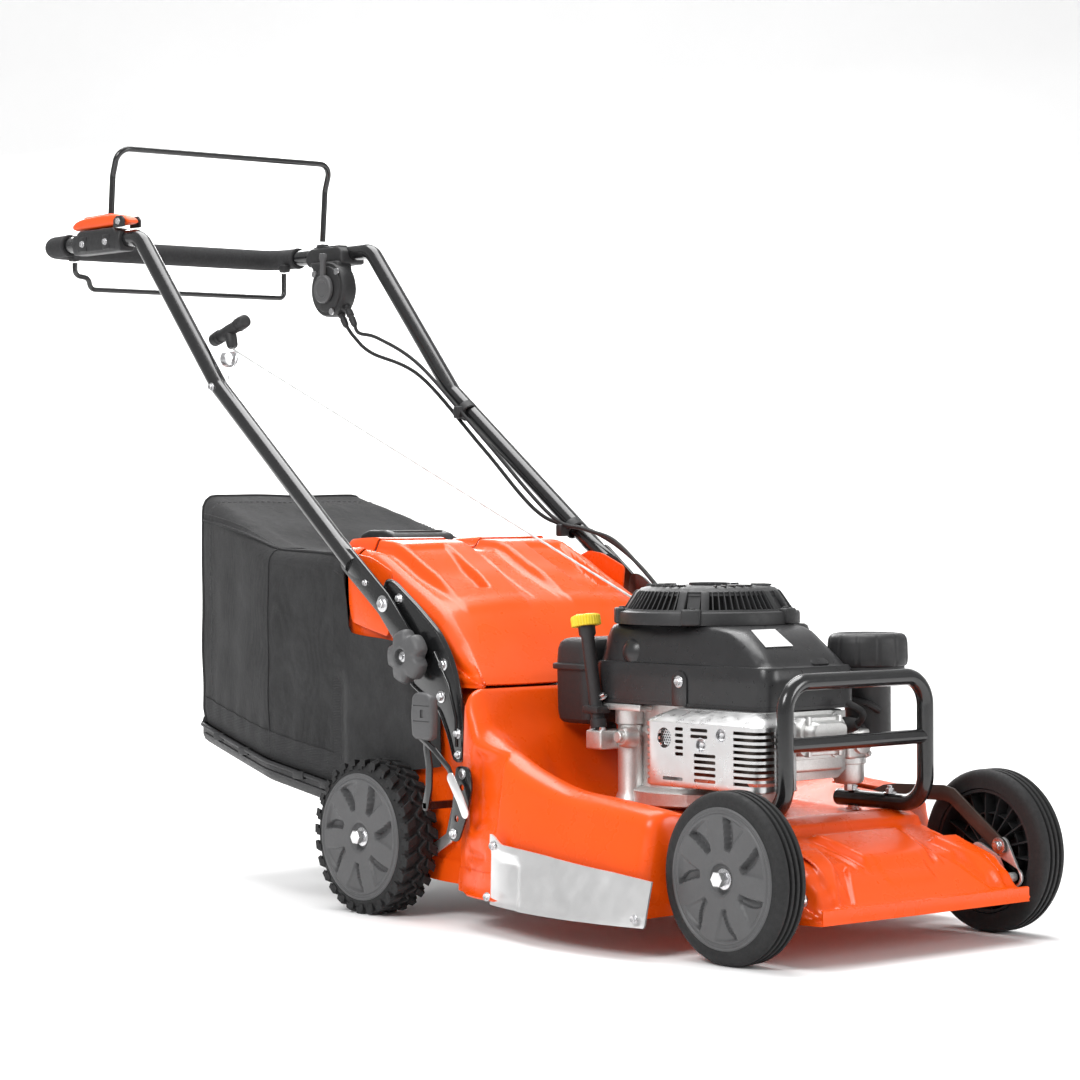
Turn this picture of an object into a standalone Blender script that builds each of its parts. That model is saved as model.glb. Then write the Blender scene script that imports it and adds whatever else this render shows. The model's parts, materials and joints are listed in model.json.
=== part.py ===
"""Walk-behind petrol lawn mower with a rear grass collector, as separate jointed pieces.

Frame: metres, +Z up, the mower drives towards -Y, its right-hand side is -X.
The origin is on the ground, under the middle of the whole machine.
"""
import math

import bmesh
import bpy
from mathutils import Matrix, Vector

# ---------------------------------------------------------------- driving dimensions
GAP = 0.0003                 # clearance between pieces that touch
WHEEL_RADIUS = 0.1015        # 203 mm wheels
FRONT_AXLE_Y = -0.715
REAR_AXLE_Y = -0.048
FRONT_TYRE = (0.2025, 0.2437)   # inner and outer face, distance from the middle
REAR_TYRE = (0.2110, 0.2632)
TYRE_INNER_RADIUS = 0.0775
RIM_DISC_RADIUS = 0.0833
AXLE_RADIUS = 0.0060
CRANK_AXIS_Y = -0.435        # crankshaft and blade axis
BLADE_RADIUS = 0.240
AXLE_OFFSET = Vector((0.0, 0.060, 0.0265))   # wheel axle seen from its height pivot
LINK_OFFSET = Vector((0.0, 0.020, 0.0375))   # link pin seen from the same pivot
SHEET = 0.003                # wall of the deck and covers
HANDLE_X = 0.211             # middle line of the handle tube
HANDLE_RADIUS = 0.0125
HANDLE_END_X = 0.2265        # flattened tube end
BEND_RADIUS = 0.032          # bends of the handle tube, middle line
FOLD_AXIS = Vector((0.0, -0.121, 0.339))
HANDLE_BEND = (0.545, 0.928)
HANDLE_REAR_Y = 0.80105
BAIL_PIVOT = Vector((0.0, 0.650, 0.948))
DRIVE_BAIL_PIVOT = Vector((0.0, 0.752, 0.904))
STARTER_PULL = Vector((0.0, 0.30, 0.954)).normalized()
FLAP_HINGE = Vector((0.0, 0.0640, 0.4875))
PULLEY_PLANE_Z = 0.1400      # middle of the drive belt
CRANK_PULLEY_RADIUS = 0.024
GEARBOX_PULLEY_RADIUS = 0.036
GEARBOX_PULLEY = Vector((0.0, -0.085, PULLEY_PLANE_Z))
BELT_WIDTH = 0.009
BELT_THICKNESS = 0.006
GUARD_Y = -0.695
GUARD_RADIUS = 0.0105
ROUND = 18                   # sides of turned pieces
WHEEL_SIDES = 24

FRONT_PIVOT = Vector((0.0, FRONT_AXLE_Y, WHEEL_RADIUS)) - AXLE_OFFSET
REAR_PIVOT = Vector((0.0, REAR_AXLE_Y, WHEEL_RADIUS)) - AXLE_OFFSET

ORANGE = (0.90, 0.16, 0.02)
BLACK_PAINT = (0.025, 0.026, 0.028)
BLACK_PLASTIC = (0.03, 0.03, 0.032)
GREY_PLASTIC = (0.10, 0.10, 0.105)
RUBBER = (0.018, 0.018, 0.019)
FABRIC = (0.045, 0.045, 0.048)
STEEL = (0.55, 0.55, 0.56)
ALUMINIUM = (0.68, 0.68, 0.69)
YELLOW = (0.80, 0.68, 0.05)

SIDES = (("right", -1.0), ("left", 1.0))


# ---------------------------------------------------------------- mesh helpers
def clear_scene():
    for item in list(bpy.data.objects):
        bpy.data.objects.remove(item)


def make_material(name, colour, roughness, metallic):
    material = bpy.data.materials.new(name)
    material.use_nodes = True
    shader = material.node_tree.nodes["Principled BSDF"]
    shader.inputs["Base Color"].default_value = (*colour, 1.0)
    shader.inputs["Roughness"].default_value = roughness
    shader.inputs["Metallic"].default_value = metallic
    return material


def add_object(name, mesh_data, colour, roughness=0.45, metallic=0.0, origin=(0, 0, 0), smooth=True):
    """Turn a bmesh in world coordinates into a named object with its origin at a chosen point."""
    bmesh.ops.recalc_face_normals(mesh_data, faces=mesh_data.faces)
    mesh_data.transform(Matrix.Translation(-Vector(origin)))
    mesh = bpy.data.meshes.new(name)
    mesh_data.to_mesh(mesh)
    mesh_data.free()
    mesh.materials.append(make_material(name, colour, roughness, metallic))
    if smooth:
        mesh.shade_smooth()
        mesh.set_sharp_from_angle(angle=math.radians(35))
    item = bpy.data.objects.new(name, mesh)
    item.location = origin
    bpy.context.scene.collection.objects.link(item)
    return item


def skin_sections(sections, cap_ends=True):
    """Join closed rings of equal length one after another, with a face over each end."""
    mesh = bmesh.new()
    rings = [[mesh.verts.new(point) for point in section] for section in sections]
    count = len(rings[0])
    for ring, following in zip(rings, rings[1:]):
        for i in range(count):
            j = (i + 1) % count
            mesh.faces.new((ring[i], ring[j], following[j], following[i]))
    if cap_ends:
        mesh.faces.new(rings[0])
        mesh.faces.new(rings[-1])
    return mesh


def box(low, high):
    (x0, y0, z0), (x1, y1, z1) = low, high
    lower = [(x0, y0, z0), (x1, y0, z0), (x1, y1, z0), (x0, y1, z0)]
    return skin_sections([lower, [(x, y, z1) for x, y, _ in lower]])


def plate(outline, x0, x1):
    """A flat plate: an outline of (y, z) points between two distances along X."""
    return skin_sections([[(x, y, z) for y, z in outline] for x in (x0, x1)])


def axis_frame(axis):
    """Two unit vectors square to an axis."""
    axis = Vector(axis).normalized()
    helper = Vector((0, 0, 1)) if abs(axis.z) < 0.9 else Vector((1, 0, 0))
    first = axis.cross(helper).normalized()
    return first, axis.cross(first).normalized()


def rod(start, end, radius, sides=12):
    start, end = Vector(start), Vector(end)
    first, second = axis_frame(end - start)
    turns = [2 * math.pi * i / sides for i in range(sides)]
    ring = [radius * (math.cos(t) * first + math.sin(t) * second) for t in turns]
    return skin_sections([[centre + offset for offset in ring] for centre in (start, end)])


def turned(profile, centre, axis, sides=ROUND, flat_down=False):
    """Turn a closed outline of (radius, distance along the axis) points about an axis.

    With flat_down a flat side, and not a corner, faces down, and the radii are those of the flats.
    """
    centre, axis = Vector(centre), Vector(axis).normalized()
    first, second = axis_frame(axis)
    phase = math.pi / sides if flat_down else 0.0
    stretch = 1 / math.cos(math.pi / sides) if flat_down else 1.0
    mesh = bmesh.new()
    rings = []
    for radius, along in profile:
        base = centre + axis * along
        if radius == 0.0:
            rings.append([mesh.verts.new(base)] * sides)
            continue
        turns = [2 * math.pi * i / sides + phase for i in range(sides)]
        reach = radius * stretch
        rings.append([mesh.verts.new(base + reach * (math.cos(t) * first + math.sin(t) * second))
                      for t in turns])
    for ring, following in zip(rings, rings[1:] + rings[:1]):
        for i in range(sides):
            j = (i + 1) % sides
            corners = []
            for vertex in (ring[i], ring[j], following[j], following[i]):
                if vertex not in corners:
                    corners.append(vertex)
            if len(corners) > 2:
                mesh.faces.new(corners)
    return mesh


def rounded_path(points, radius, steps=4):
    """Replace each inner corner of a path by an arc of the given radius."""
    points = [Vector(point) for point in points]
    path = [points[0]]
    for before, corner, after in zip(points, points[1:], points[2:]):
        incoming = (before - corner).normalized()
        outgoing = (after - corner).normalized()
        half_angle = incoming.angle(outgoing) / 2
        if half_angle > math.radians(88):
            path.append(corner)
            continue
        reach = min(radius / math.tan(half_angle), 0.49 * min((before - corner).length,
                                                              (after - corner).length))
        bend = reach * math.tan(half_angle)
        centre = corner + (incoming + outgoing).normalized() * bend / math.sin(half_angle)
        start = corner + incoming * reach - centre
        end = corner + outgoing * reach - centre
        turn = start.angle(end)
        for i in range(steps + 1):
            t = i / steps
            path.append(centre + (math.sin((1 - t) * turn) * start + math.sin(t * turn) * end) / math.sin(turn))
    path.append(points[-1])
    return path


def sweep_rings(path, radius, sides):
    """Rings of a round tube that follows a path without twisting."""
    directions = []
    for i in range(len(path)):
        before = path[max(i - 1, 0)]
        after = path[min(i + 1, len(path) - 1)]
        directions.append((after - before).normalized())
    first, _ = axis_frame(directions[0])
    rings = []
    for point, direction in zip(path, directions):
        first = (first - direction * first.dot(direction)).normalized()
        second = direction.cross(first)
        turns = [2 * math.pi * (i + 0.5) / sides for i in range(sides)]
        rings.append([point + radius * (math.cos(t) * first + math.sin(t) * second) for t in turns])
    return rings


def bent_tube(path, radius, sides=10):
    return skin_sections(sweep_rings(path, radius, sides))


def sleeve(path, outer_radius, inner_radius, sides=12):
    """A tube with a bore that follows a path."""
    outer = sweep_rings(path, outer_radius, sides)
    inner = sweep_rings(path, inner_radius, sides)
    rings = outer + inner[::-1]
    mesh = skin_sections(rings, cap_ends=False)
    mesh.verts.ensure_lookup_table()
    last = (len(rings) - 1) * sides
    for i in range(sides):
        j = (i + 1) % sides
        mesh.faces.new([mesh.verts[k] for k in (last + i, last + j, j, i)])
    return mesh


def combine(item, mesh_data, operation):
    """Apply one exact Boolean with a helper body in world coordinates, then remove the helper."""
    bmesh.ops.recalc_face_normals(mesh_data, faces=mesh_data.faces)
    helper_mesh = bpy.data.meshes.new("helper")
    mesh_data.to_mesh(helper_mesh)
    mesh_data.free()
    helper = bpy.data.objects.new("helper", helper_mesh)
    bpy.context.scene.collection.objects.link(helper)
    modifier = item.modifiers.new("boolean", "BOOLEAN")
    modifier.operation = operation
    modifier.solver = "EXACT"
    modifier.object = helper
    bpy.context.view_layer.update()
    evaluated = item.evaluated_get(bpy.context.evaluated_depsgraph_get())
    result = bpy.data.meshes.new_from_object(evaluated)
    item.modifiers.clear()
    item.data = result
    bpy.data.objects.remove(helper)
    return item


def join(item, *bodies):
    for body in bodies:
        combine(item, body, "UNION")
    return item


def cut(item, *bodies):
    for body in bodies:
        combine(item, body, "DIFFERENCE")
    return item


def mirrored(points, side):
    return [(side * x, y, z) for x, y, z in points]


# ---------------------------------------------------------------- deck and covers
# y, lower edge z, half width at the lower edge, half width at the shoulder, shoulder z, middle z
DECK_STATIONS = [
    (-0.812, 0.050, 0.176, 0.172, 0.056, 0.057),
    (-0.800, 0.050, 0.181, 0.175, 0.078, 0.080),
    (-0.770, 0.050, 0.184, 0.172, 0.106, 0.117),
    (-0.740, 0.050, 0.184, 0.168, 0.116, 0.128),
    (-0.690, 0.050, 0.184, 0.165, 0.130, 0.138),
    (-0.660, 0.050, 0.184, 0.165, 0.138, 0.146),
    (-0.601, 0.048, 0.184, 0.165, 0.146, 0.147),
    (-0.592, 0.045, 0.258, 0.238, 0.170, 0.147),
    (-0.572, 0.045, 0.262, 0.242, 0.172, 0.147),
    (-0.500, 0.045, 0.266, 0.243, 0.179, 0.151),
    (-0.426, 0.045, 0.266, 0.242, 0.186, 0.155),
    (-0.350, 0.045, 0.264, 0.242, 0.208, 0.155),
    (-0.317, 0.045, 0.261, 0.241, 0.222, 0.1555),
    (-0.290, 0.045, 0.257, 0.240, 0.232, 0.185),
    (-0.262, 0.045, 0.249, 0.238, 0.250, 0.232),
    (-0.247, 0.045, 0.245, 0.234, 0.272, 0.248),
    (-0.228, 0.045, 0.239, 0.228, 0.2997, 0.2997),
    (-0.222, 0.045, 0.237, 0.224, 0.2997, 0.2997),
    (-0.215, 0.045, 0.200, 0.199, 0.2997, 0.2997),
    (-0.092, 0.052, 0.200, 0.199, 0.2997, 0.2997),
    (-0.072, 0.136, 0.200, 0.199, 0.2997, 0.2997),
    (0.060, 0.140, 0.200, 0.199, 0.2997, 0.2997),
]
PAD_HALF_WIDTH = 0.130       # flat middle strip under the engine


def arch(y, low, half_low, half_high, high, middle, wall):
    """One cross-section of a cover, from its right lower edge over the top to the left one."""
    half_low -= wall
    half_high -= wall
    high -= wall
    middle -= wall
    rise = high - low
    bend = min(0.022, 0.4 * rise)
    pad = min(PAD_HALF_WIDTH, half_high - 0.03)
    right = [
        (-half_low, low),
        (-(half_low * 0.45 + half_high * 0.55), low + 0.55 * rise),
        (-half_high - 0.1 * bend, high - bend),
        (-half_high + 0.3 * bend, high - 0.3 * bend),
        (-half_high + bend, high),
        (-pad, middle),
    ]
    left = [(-x, z) for x, z in reversed(right)]
    return [Vector((x, y, z)) for x, z in right + left]


def arched_shell(stations, wall):
    """A thin cover: outer and inner arches joined along their rims."""
    outer = [arch(*station, 0.0) for station in stations]
    inner = [arch(*station, wall) for station in stations]
    for point in inner[0]:
        point.y += wall
    mesh = bmesh.new()
    outer_rows = [[mesh.verts.new(p) for p in row] for row in outer]
    inner_rows = [[mesh.verts.new(p) for p in row] for row in inner]
    rows, count = len(outer_rows), len(outer_rows[0])
    for grid in (outer_rows, inner_rows):
        for r in range(rows - 1):
            for c in range(count - 1):
                mesh.faces.new((grid[r][c], grid[r][c + 1], grid[r + 1][c + 1], grid[r + 1][c]))
    for r in range(rows - 1):
        for c in (0, count - 1):
            mesh.faces.new((outer_rows[r][c], outer_rows[r + 1][c], inner_rows[r + 1][c],
                            inner_rows[r][c]))
    for r in (0, rows - 1):
        for c in range(count - 1):
            mesh.faces.new((outer_rows[r][c], outer_rows[r][c + 1], inner_rows[r][c + 1],
                            inner_rows[r][c]))
    return mesh


def build_deck():
    deck = add_object("deck_shell", arched_shell(DECK_STATIONS, SHEET), ORANGE, 0.35)
    tunnel_window = box((-0.165, -0.185, 0.28), (0.165, 0.04, 0.32))
    crank_hole = rod((0, CRANK_AXIS_Y, 0.12), (0, CRANK_AXIS_Y, 0.18), 0.020)
    link_slot = box((0.184, -0.612, 0.120), (0.196, -0.470, 0.220))
    cut(deck, tunnel_window, crank_hole, link_slot)
    for pivot in (FRONT_PIVOT, REAR_PIVOT):
        cut(deck, rod(pivot - Vector((0.22, 0, 0)), pivot + Vector((0.22, 0, 0)), AXLE_RADIUS + 0.0015))
    return deck


COVER_STATIONS = [
    (-0.2250, 0.300, 0.198, 0.196, 0.3040, 0.3045),
    (-0.2150, 0.300, 0.200, 0.196, 0.3180, 0.3190),
    (-0.1800, 0.300, 0.202, 0.192, 0.3460, 0.3490),
    (-0.1400, 0.300, 0.203, 0.186, 0.3760, 0.3840),
    (-0.1000, 0.300, 0.203, 0.180, 0.3960, 0.4100),
    (-0.0400, 0.300, 0.203, 0.172, 0.4220, 0.4400),
    (0.0150, 0.300, 0.203, 0.162, 0.4460, 0.4640),
    (0.0500, 0.300, 0.203, 0.154, 0.4620, 0.4780),
    (0.0600, 0.300, 0.203, 0.152, 0.4660, 0.4815),
]


def build_rear_cover():
    return add_object("rear_cover", arched_shell(COVER_STATIONS, SHEET), ORANGE, 0.4)


def build_side_skirts():
    """Pressed guards along both sides of the blade housing, curved in plan."""
    arc_radius, arc_middle_y, widest = 0.56, -0.489, 0.2955
    front_y, rear_y, steps = -0.621, -0.330, 8
    for name, side in SIDES:
        sections = []
        for i in range(steps + 1):
            y = front_y + (rear_y - front_y) * i / steps
            low_x = widest - arc_radius + math.sqrt(arc_radius ** 2 - (y - arc_middle_y) ** 2)
            top_z = 0.092 + 0.023 * i / steps
            high_x = low_x - 0.0245 if y > front_y + 0.05 else low_x - 0.012
            high_x = max(high_x, 0.2675)
            corners = [(low_x, y, 0.039), (high_x, y, top_z), (high_x - SHEET, y, top_z),
                       (low_x - SHEET, y, 0.039)]
            sections.append(mirrored(corners, side))
        add_object("side_skirt_" + name, skin_sections(sections), ALUMINIUM, 0.3, 0.8)


def build_handle_plates():
    """Black side plates that carry the handle, with three spacers to the body."""
    outline = [(-0.048, 0.440), (-0.068, 0.436), (-0.163, 0.372), (-0.200, 0.310), (-0.213, 0.262),
               (-0.208, 0.205), (-0.190, 0.205), (-0.160, 0.268), (-0.100, 0.300), (-0.040, 0.415)]
    for name, side in SIDES:
        item = add_object("handle_plate_" + name, plate(outline, side * 0.2150, side * 0.2190),
                          BLACK_PAINT, 0.45)
        for y, z, inner_x in ((-0.170, 0.330, 0.2085), (-0.080, 0.385, 0.2060), (-0.160, 0.290, 0.2035)):
            join(item, rod((side * 0.2170, y, z), (side * inner_x, y, z), 0.006, 10))
        hole_start = FOLD_AXIS + Vector((side * 0.2050, 0, 0))
        cut(item, rod(hole_start, FOLD_AXIS + Vector((side * 0.2250, 0, 0)), 0.0060))


def build_rear_baffle():
    """Sloping plate that keeps the clippings above the gearbox and the axle."""
    sections = []
    for y, z in ((-0.178, 0.170), (-0.060, 0.172), (0.058, 0.182)):
        sections.append([(-0.1960, y, z), (0.1860, y, z), (0.1860, y, z + 0.003), (-0.1960, y, z + 0.003)])
    add_object("rear_baffle", skin_sections(sections), BLACK_PAINT, 0.5)


def build_quadrant():
    """Notched plate for the cutting height, on the right rear corner of the deck."""
    outline = [(-0.262, 0.205), (-0.236, 0.205), (-0.228, 0.150), (-0.220, 0.110), (-0.240, 0.108),
               (-0.256, 0.140), (-0.268, 0.180)]
    item = add_object("height_quadrant", plate(outline, -0.2495, -0.2525), BLACK_PAINT, 0.5)
    for y, z in ((-0.246, 0.196), (-0.231, 0.118)):
        join(item, rod((-0.2505, y, z), (-0.2445, y, z), 0.005, 10))
    for y, z in ((-0.247, 0.176), (-0.242, 0.156), (-0.236, 0.136)):
        cut(item, rod((-0.2460, y, z), (-0.2560, y, z), 0.004, 8))


def build_front_guard():
    """Tube hoop in front of the engine, with a middle bar and two feet on the deck."""
    half, top, foot = 0.1207, 0.322, 0.1635
    hoop = [(-half, -0.548, foot), (-half, GUARD_Y, foot), (-half, GUARD_Y, top),
            (half, GUARD_Y, top), (half, GUARD_Y, foot), (half, -0.548, foot)]
    item = add_object("front_guard", bent_tube(rounded_path(hoop, 0.036), GUARD_RADIUS), BLACK_PAINT, 0.4)
    join(item, rod((-half, GUARD_Y, 0.2478), (half, GUARD_Y, 0.2478), 0.0090, 10))
    for x in (-half, half):
        for y in (-0.635, -0.572):
            join(item, rod((x, y, foot - 0.0125), (x, y, foot), 0.007, 10))


# ---------------------------------------------------------------- engine
def build_engine_block():
    centre = (0, CRANK_AXIS_Y, 0)
    case = turned([(0.0, 0.1565), (0.100, 0.1565), (0.100, 0.176), (0.086, 0.180), (0.086, 0.2835),
                   (0.0, 0.2835)], centre, (0, 0, 1))
    item = add_object("engine_block", case, ALUMINIUM, 0.4, 0.7)
    cylinder = box((-0.066, -0.640, 0.206), (0.040, -0.480, 0.2835))
    mount_column = rod((-0.080, -0.376, 0.160), (-0.080, -0.376, 0.2835), 0.016)
    filler_boss = box((-0.1220, -0.3660, 0.2250), (-0.0800, -0.3360, 0.2495))
    fins = [box((-0.074, y, 0.200), (0.048, y + 0.004, 0.2835)) for y in (-0.630, -0.614, -0.598, -0.582)]
    join(item, cylinder, mount_column, filler_boss, *fins)
    cut(item, rod((0, CRANK_AXIS_Y, 0.15), (0, CRANK_AXIS_Y, 0.30), 0.0140))


def build_valve_cover():
    outline = [(-0.076, 0.222), (0.018, 0.222), (0.024, 0.240), (0.024, 0.276), (0.010, 0.283),
               (-0.066, 0.283), (-0.076, 0.270)]
    sections = []
    for y, shrink in ((-0.6405, 1.0), (-0.655, 1.0), (-0.657, 0.86), (-0.678, 0.78)):
        sections.append([(-0.027 + (x + 0.027) * shrink, y, 0.252 + (z - 0.252) * shrink)
                         for x, z in outline])
    add_object("valve_cover", skin_sections(sections), ALUMINIUM, 0.4, 0.7)


def build_muffler():
    low, high = (-0.138, -0.655, 0.204), (-0.092, -0.500, 0.276)
    add_object("muffler", box(low, high), STEEL, 0.5, 0.6)
    guard = add_object("muffler_guard", box((-0.150, -0.680, 0.191), (-0.078, -0.475, 0.2840)),
                       ALUMINIUM, 0.35, 0.8)
    cut(guard, box((-0.148, -0.678, 0.193), (-0.070, -0.477, 0.2820)))
    for z in (0.210, 0.222, 0.234, 0.246, 0.258):
        cut(guard, box((-0.160, -0.668, z), (-0.146, -0.612, z + 0.005)))
        cut(guard, box((-0.160, -0.540, z), (-0.146, -0.490, z + 0.005)))


def build_fan_shroud():
    def outline(half, front, rear, z, chamfer):
        notch_x, notch_y = half - 0.046, min(-0.535, front + 0.110)
        return [(-half, rear - chamfer, z), (-half + chamfer, rear, z), (half - chamfer, rear, z),
                (half, rear - chamfer, z), (half, notch_y, z), (notch_x, notch_y - 0.012, z),
                (notch_x, front + chamfer, z), (notch_x - chamfer, front, z),
                (-half + chamfer, front, z), (-half, front + chamfer, z)]
    outer = [outline(0.1010, -0.645, -0.3230, 0.2850, 0.020), outline(0.1010, -0.645, -0.3230, 0.3370, 0.020),
             outline(0.0960, -0.632, -0.3270, 0.3440, 0.020), outline(0.0880, -0.575, -0.3350, 0.3840, 0.020)]
    inner = [outline(0.0980, -0.642, -0.3260, 0.2800, 0.020), outline(0.0980, -0.642, -0.3260, 0.3350, 0.020),
             outline(0.0850, -0.565, -0.3380, 0.3800, 0.020)]
    item = add_object("fan_shroud", skin_sections(outer), BLACK_PLASTIC, 0.4)
    air_hole = rod((0, CRANK_AXIS_Y, 0.37), (0, CRANK_AXIS_Y, 0.40), 0.070, ROUND)
    cut(item, skin_sections(inner), air_hole)


def build_recoil_housing():
    profile = [(0.1160, 0.3843), (0.1160, 0.4000), (0.1040, 0.4030), (0.0860, 0.4290), (0.0780, 0.4325),
               (0.0, 0.4330), (0.0, 0.3900), (0.0080, 0.3900), (0.0080, 0.4290), (0.0760, 0.4290),
               (0.0830, 0.4260), (0.1010, 0.4000), (0.1130, 0.3970), (0.1130, 0.3843)]
    item = add_object("recoil_housing", turned(profile, (0, CRANK_AXIS_Y, 0), (0, 0, 1), 24),
                      BLACK_PLASTIC, 0.45)
    outlet = rod((-0.020, CRANK_AXIS_Y + 0.070, 0.4130), (-0.020, CRANK_AXIS_Y + 0.125, 0.4130), 0.006, 8)
    cut(item, outlet)


def build_recoil_pulley():
    profile = [(0.0090, 0.3910), (0.0560, 0.3910), (0.0560, 0.3930), (0.0500, 0.3960), (0.0500, 0.4000),
               (0.0560, 0.4030), (0.0560, 0.4050), (0.0090, 0.4050)]
    add_object("recoil_pulley", turned(profile, (0, CRANK_AXIS_Y, 0), (0, 0, 1)), GREY_PLASTIC, 0.5,
               origin=(0, CRANK_AXIS_Y, 0.398))


def build_fuel_tank():
    def outline(x0, x1, y0, y1, z):
        c = 0.010
        return [(x0 + c, y0, z), (x1 - c, y0, z), (x1, y0 + c, z), (x1, y1 - c, z), (x1 - c, y1, z),
                (x0 + c, y1, z), (x0, y1 - c, z), (x0, y0 + c, z)]
    sections = [outline(-0.094, 0.070, -0.312, -0.252, 0.2530), outline(-0.100, 0.074, -0.3165, -0.2480, 0.262),
                outline(-0.100, 0.074, -0.3165, -0.2480, 0.3230),
                outline(-0.106, 0.080, -0.3220, -0.2430, 0.3240),
                outline(-0.106, 0.080, -0.3220, -0.2430, 0.3300),
                outline(-0.100, 0.074, -0.3165, -0.2480, 0.3310),
                outline(-0.097, 0.072, -0.3150, -0.2500, 0.3570),
                outline(-0.090, 0.066, -0.3100, -0.2560, 0.3630)]
    add_object("fuel_tank", skin_sections(sections), BLACK_PLASTIC, 0.4)
    cap_centre = (0.035, -0.283, 0)
    add_object("fuel_cap", turned([(0.0, 0.3633), (0.0230, 0.3633), (0.0230, 0.3780), (0.0200, 0.3810),
                                   (0.0, 0.3810)], cap_centre, (0, 0, 1), 20),
               BLACK_PLASTIC, 0.5, origin=(0.035, -0.283, 0.3633))


def build_intake():
    """Carburettor with its float bowl, and the round air cleaner beside it."""
    bowl = turned([(0.0, 0.1860), (0.0180, 0.1860), (0.0205, 0.1920), (0.0205, 0.2220), (0.0, 0.2220)],
                  (0.0710, -0.612, 0), (0, 0, 1), 16)
    item = add_object("carburettor", bowl, ALUMINIUM, 0.4, 0.7)
    join(item, box((0.0490, -0.634, 0.2150), (0.0880, -0.588, 0.2560)))
    centre = (0.1180, -0.600, 0)
    add_object("air_cleaner_base", turned([(0.0, 0.2420), (0.0290, 0.2420), (0.0290, 0.3200), (0.0460, 0.3260),
                                           (0.0460, 0.3310), (0.0, 0.3310)], centre, (0, 0, 1), 20),
               BLACK_PLASTIC, 0.5)
    cover = turned([(0.0, 0.3313), (0.0480, 0.3313), (0.0505, 0.3380), (0.0500, 0.3660), (0.0450, 0.3720),
                    (0.0, 0.3725)], centre, (0, 0, 1))
    add_object("air_cleaner_cover", cover, BLACK_PLASTIC, 0.45, origin=(0.1180, -0.600, 0.3313))


def build_oil_filler():
    low, high = Vector((-0.1110, -0.3500, 0.2520)), Vector((-0.1110, -0.3270, 0.3800))
    along = (high - low).normalized()
    add_object("oil_filler_tube", rod(low, high, 0.0085), BLACK_PLASTIC, 0.4)
    add_object("oil_cap", turned([(0.0, GAP), (0.0190, GAP), (0.0190, 0.0125), (0.0160, 0.0150), (0.0, 0.0150)],
                                 high, along, 20), YELLOW, 0.5, origin=high)


def build_rotor():
    """Crankshaft, flywheel, drive pulley with blade hub, and the blade."""
    centre = (0, CRANK_AXIS_Y, 0)
    up = (0, 0, 1)
    pulley_low = PULLEY_PLANE_Z - BELT_WIDTH / 2 - 0.002
    pulley_high = PULLEY_PLANE_Z + BELT_WIDTH / 2 + 0.002
    add_object("crankshaft", rod((0, CRANK_AXIS_Y, 0.0700), (0, CRANK_AXIS_Y, 0.3560), 0.0125), STEEL, 0.3, 0.9,
               origin=(0, CRANK_AXIS_Y, 0.2))
    flywheel = turned([(0.0132, 0.3000), (0.0780, 0.3000), (0.0780, 0.3300), (0.0600, 0.3300), (0.0600, 0.3200),
                       (0.0132, 0.3200)], centre, up)
    add_object("flywheel", flywheel, ALUMINIUM, 0.5, 0.6, origin=(0, CRANK_AXIS_Y, 0.31))
    inner = CRANK_PULLEY_RADIUS
    hub = turned([(0.0132, 0.0700), (0.0300, 0.0700), (0.0300, 0.0780), (0.0200, 0.0820), (0.0200, 0.1300),
                  (inner + 0.007, pulley_low), (inner + 0.007, pulley_low + 0.0017),
                  (inner, pulley_low + 0.0019), (inner, pulley_high - 0.0019),
                  (inner + 0.007, pulley_high - 0.0017), (inner + 0.007, pulley_high), (0.0132, pulley_high)],
                 centre, up)
    add_object("blade_hub", hub, STEEL, 0.4, 0.8, origin=(0, CRANK_AXIS_Y, 0.1))
    tip, width, lift = BLADE_RADIUS, 0.026, 0.016
    sections = []
    for x, rear_lift in ((-tip, lift), (-0.185, lift), (-0.165, 0.0), (0.165, 0.0), (0.185, lift), (tip, lift)):
        front_z = 0.0640
        trailing = 1.0 if x > 0 else -1.0
        rear_z = front_z + (rear_lift if rear_lift else 0.0)
        edge = [(-width, front_z), (0.4 * width, front_z), (width, rear_z)]
        ring = [(x, CRANK_AXIS_Y + trailing * y, z) for y, z in edge]
        ring += [(x, CRANK_AXIS_Y + trailing * y, z + 0.0040) for y, z in reversed(edge)]
        sections.append(ring if trailing > 0 else [ring[k] for k in (2, 1, 0, 5, 4, 3)])
    blade = add_object("blade", skin_sections(sections), STEEL, 0.35, 0.9,
                       origin=(0, CRANK_AXIS_Y, 0.066), smooth=False)
    return blade


# ---------------------------------------------------------------- height adjustment, axles, wheels
def arm_plate(points, half_width, x0, x1):
    """A flat link along a path of (y, z) points, with round-ish ends."""
    path = [Vector((0.0, y, z)) for y, z in points]
    left, right = [], []
    for i, point in enumerate(path):
        before, after = path[max(i - 1, 0)], path[min(i + 1, len(path) - 1)]
        direction = (after - before).normalized()
        normal = Vector((0.0, -direction.z, direction.y))
        reach = half_width * direction
        if i == 0:
            point = point - reach
        if i == len(path) - 1:
            point = point + reach
        left.append((point + normal * half_width).yz)
        right.append((point - normal * half_width).yz)
    return plate([tuple(p) for p in left + right[::-1]], x0, x1)


def across(point, x0, x1, radius, sides=12):
    return rod((x0, point.y, point.z), (x1, point.y, point.z), radius, sides)


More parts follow.
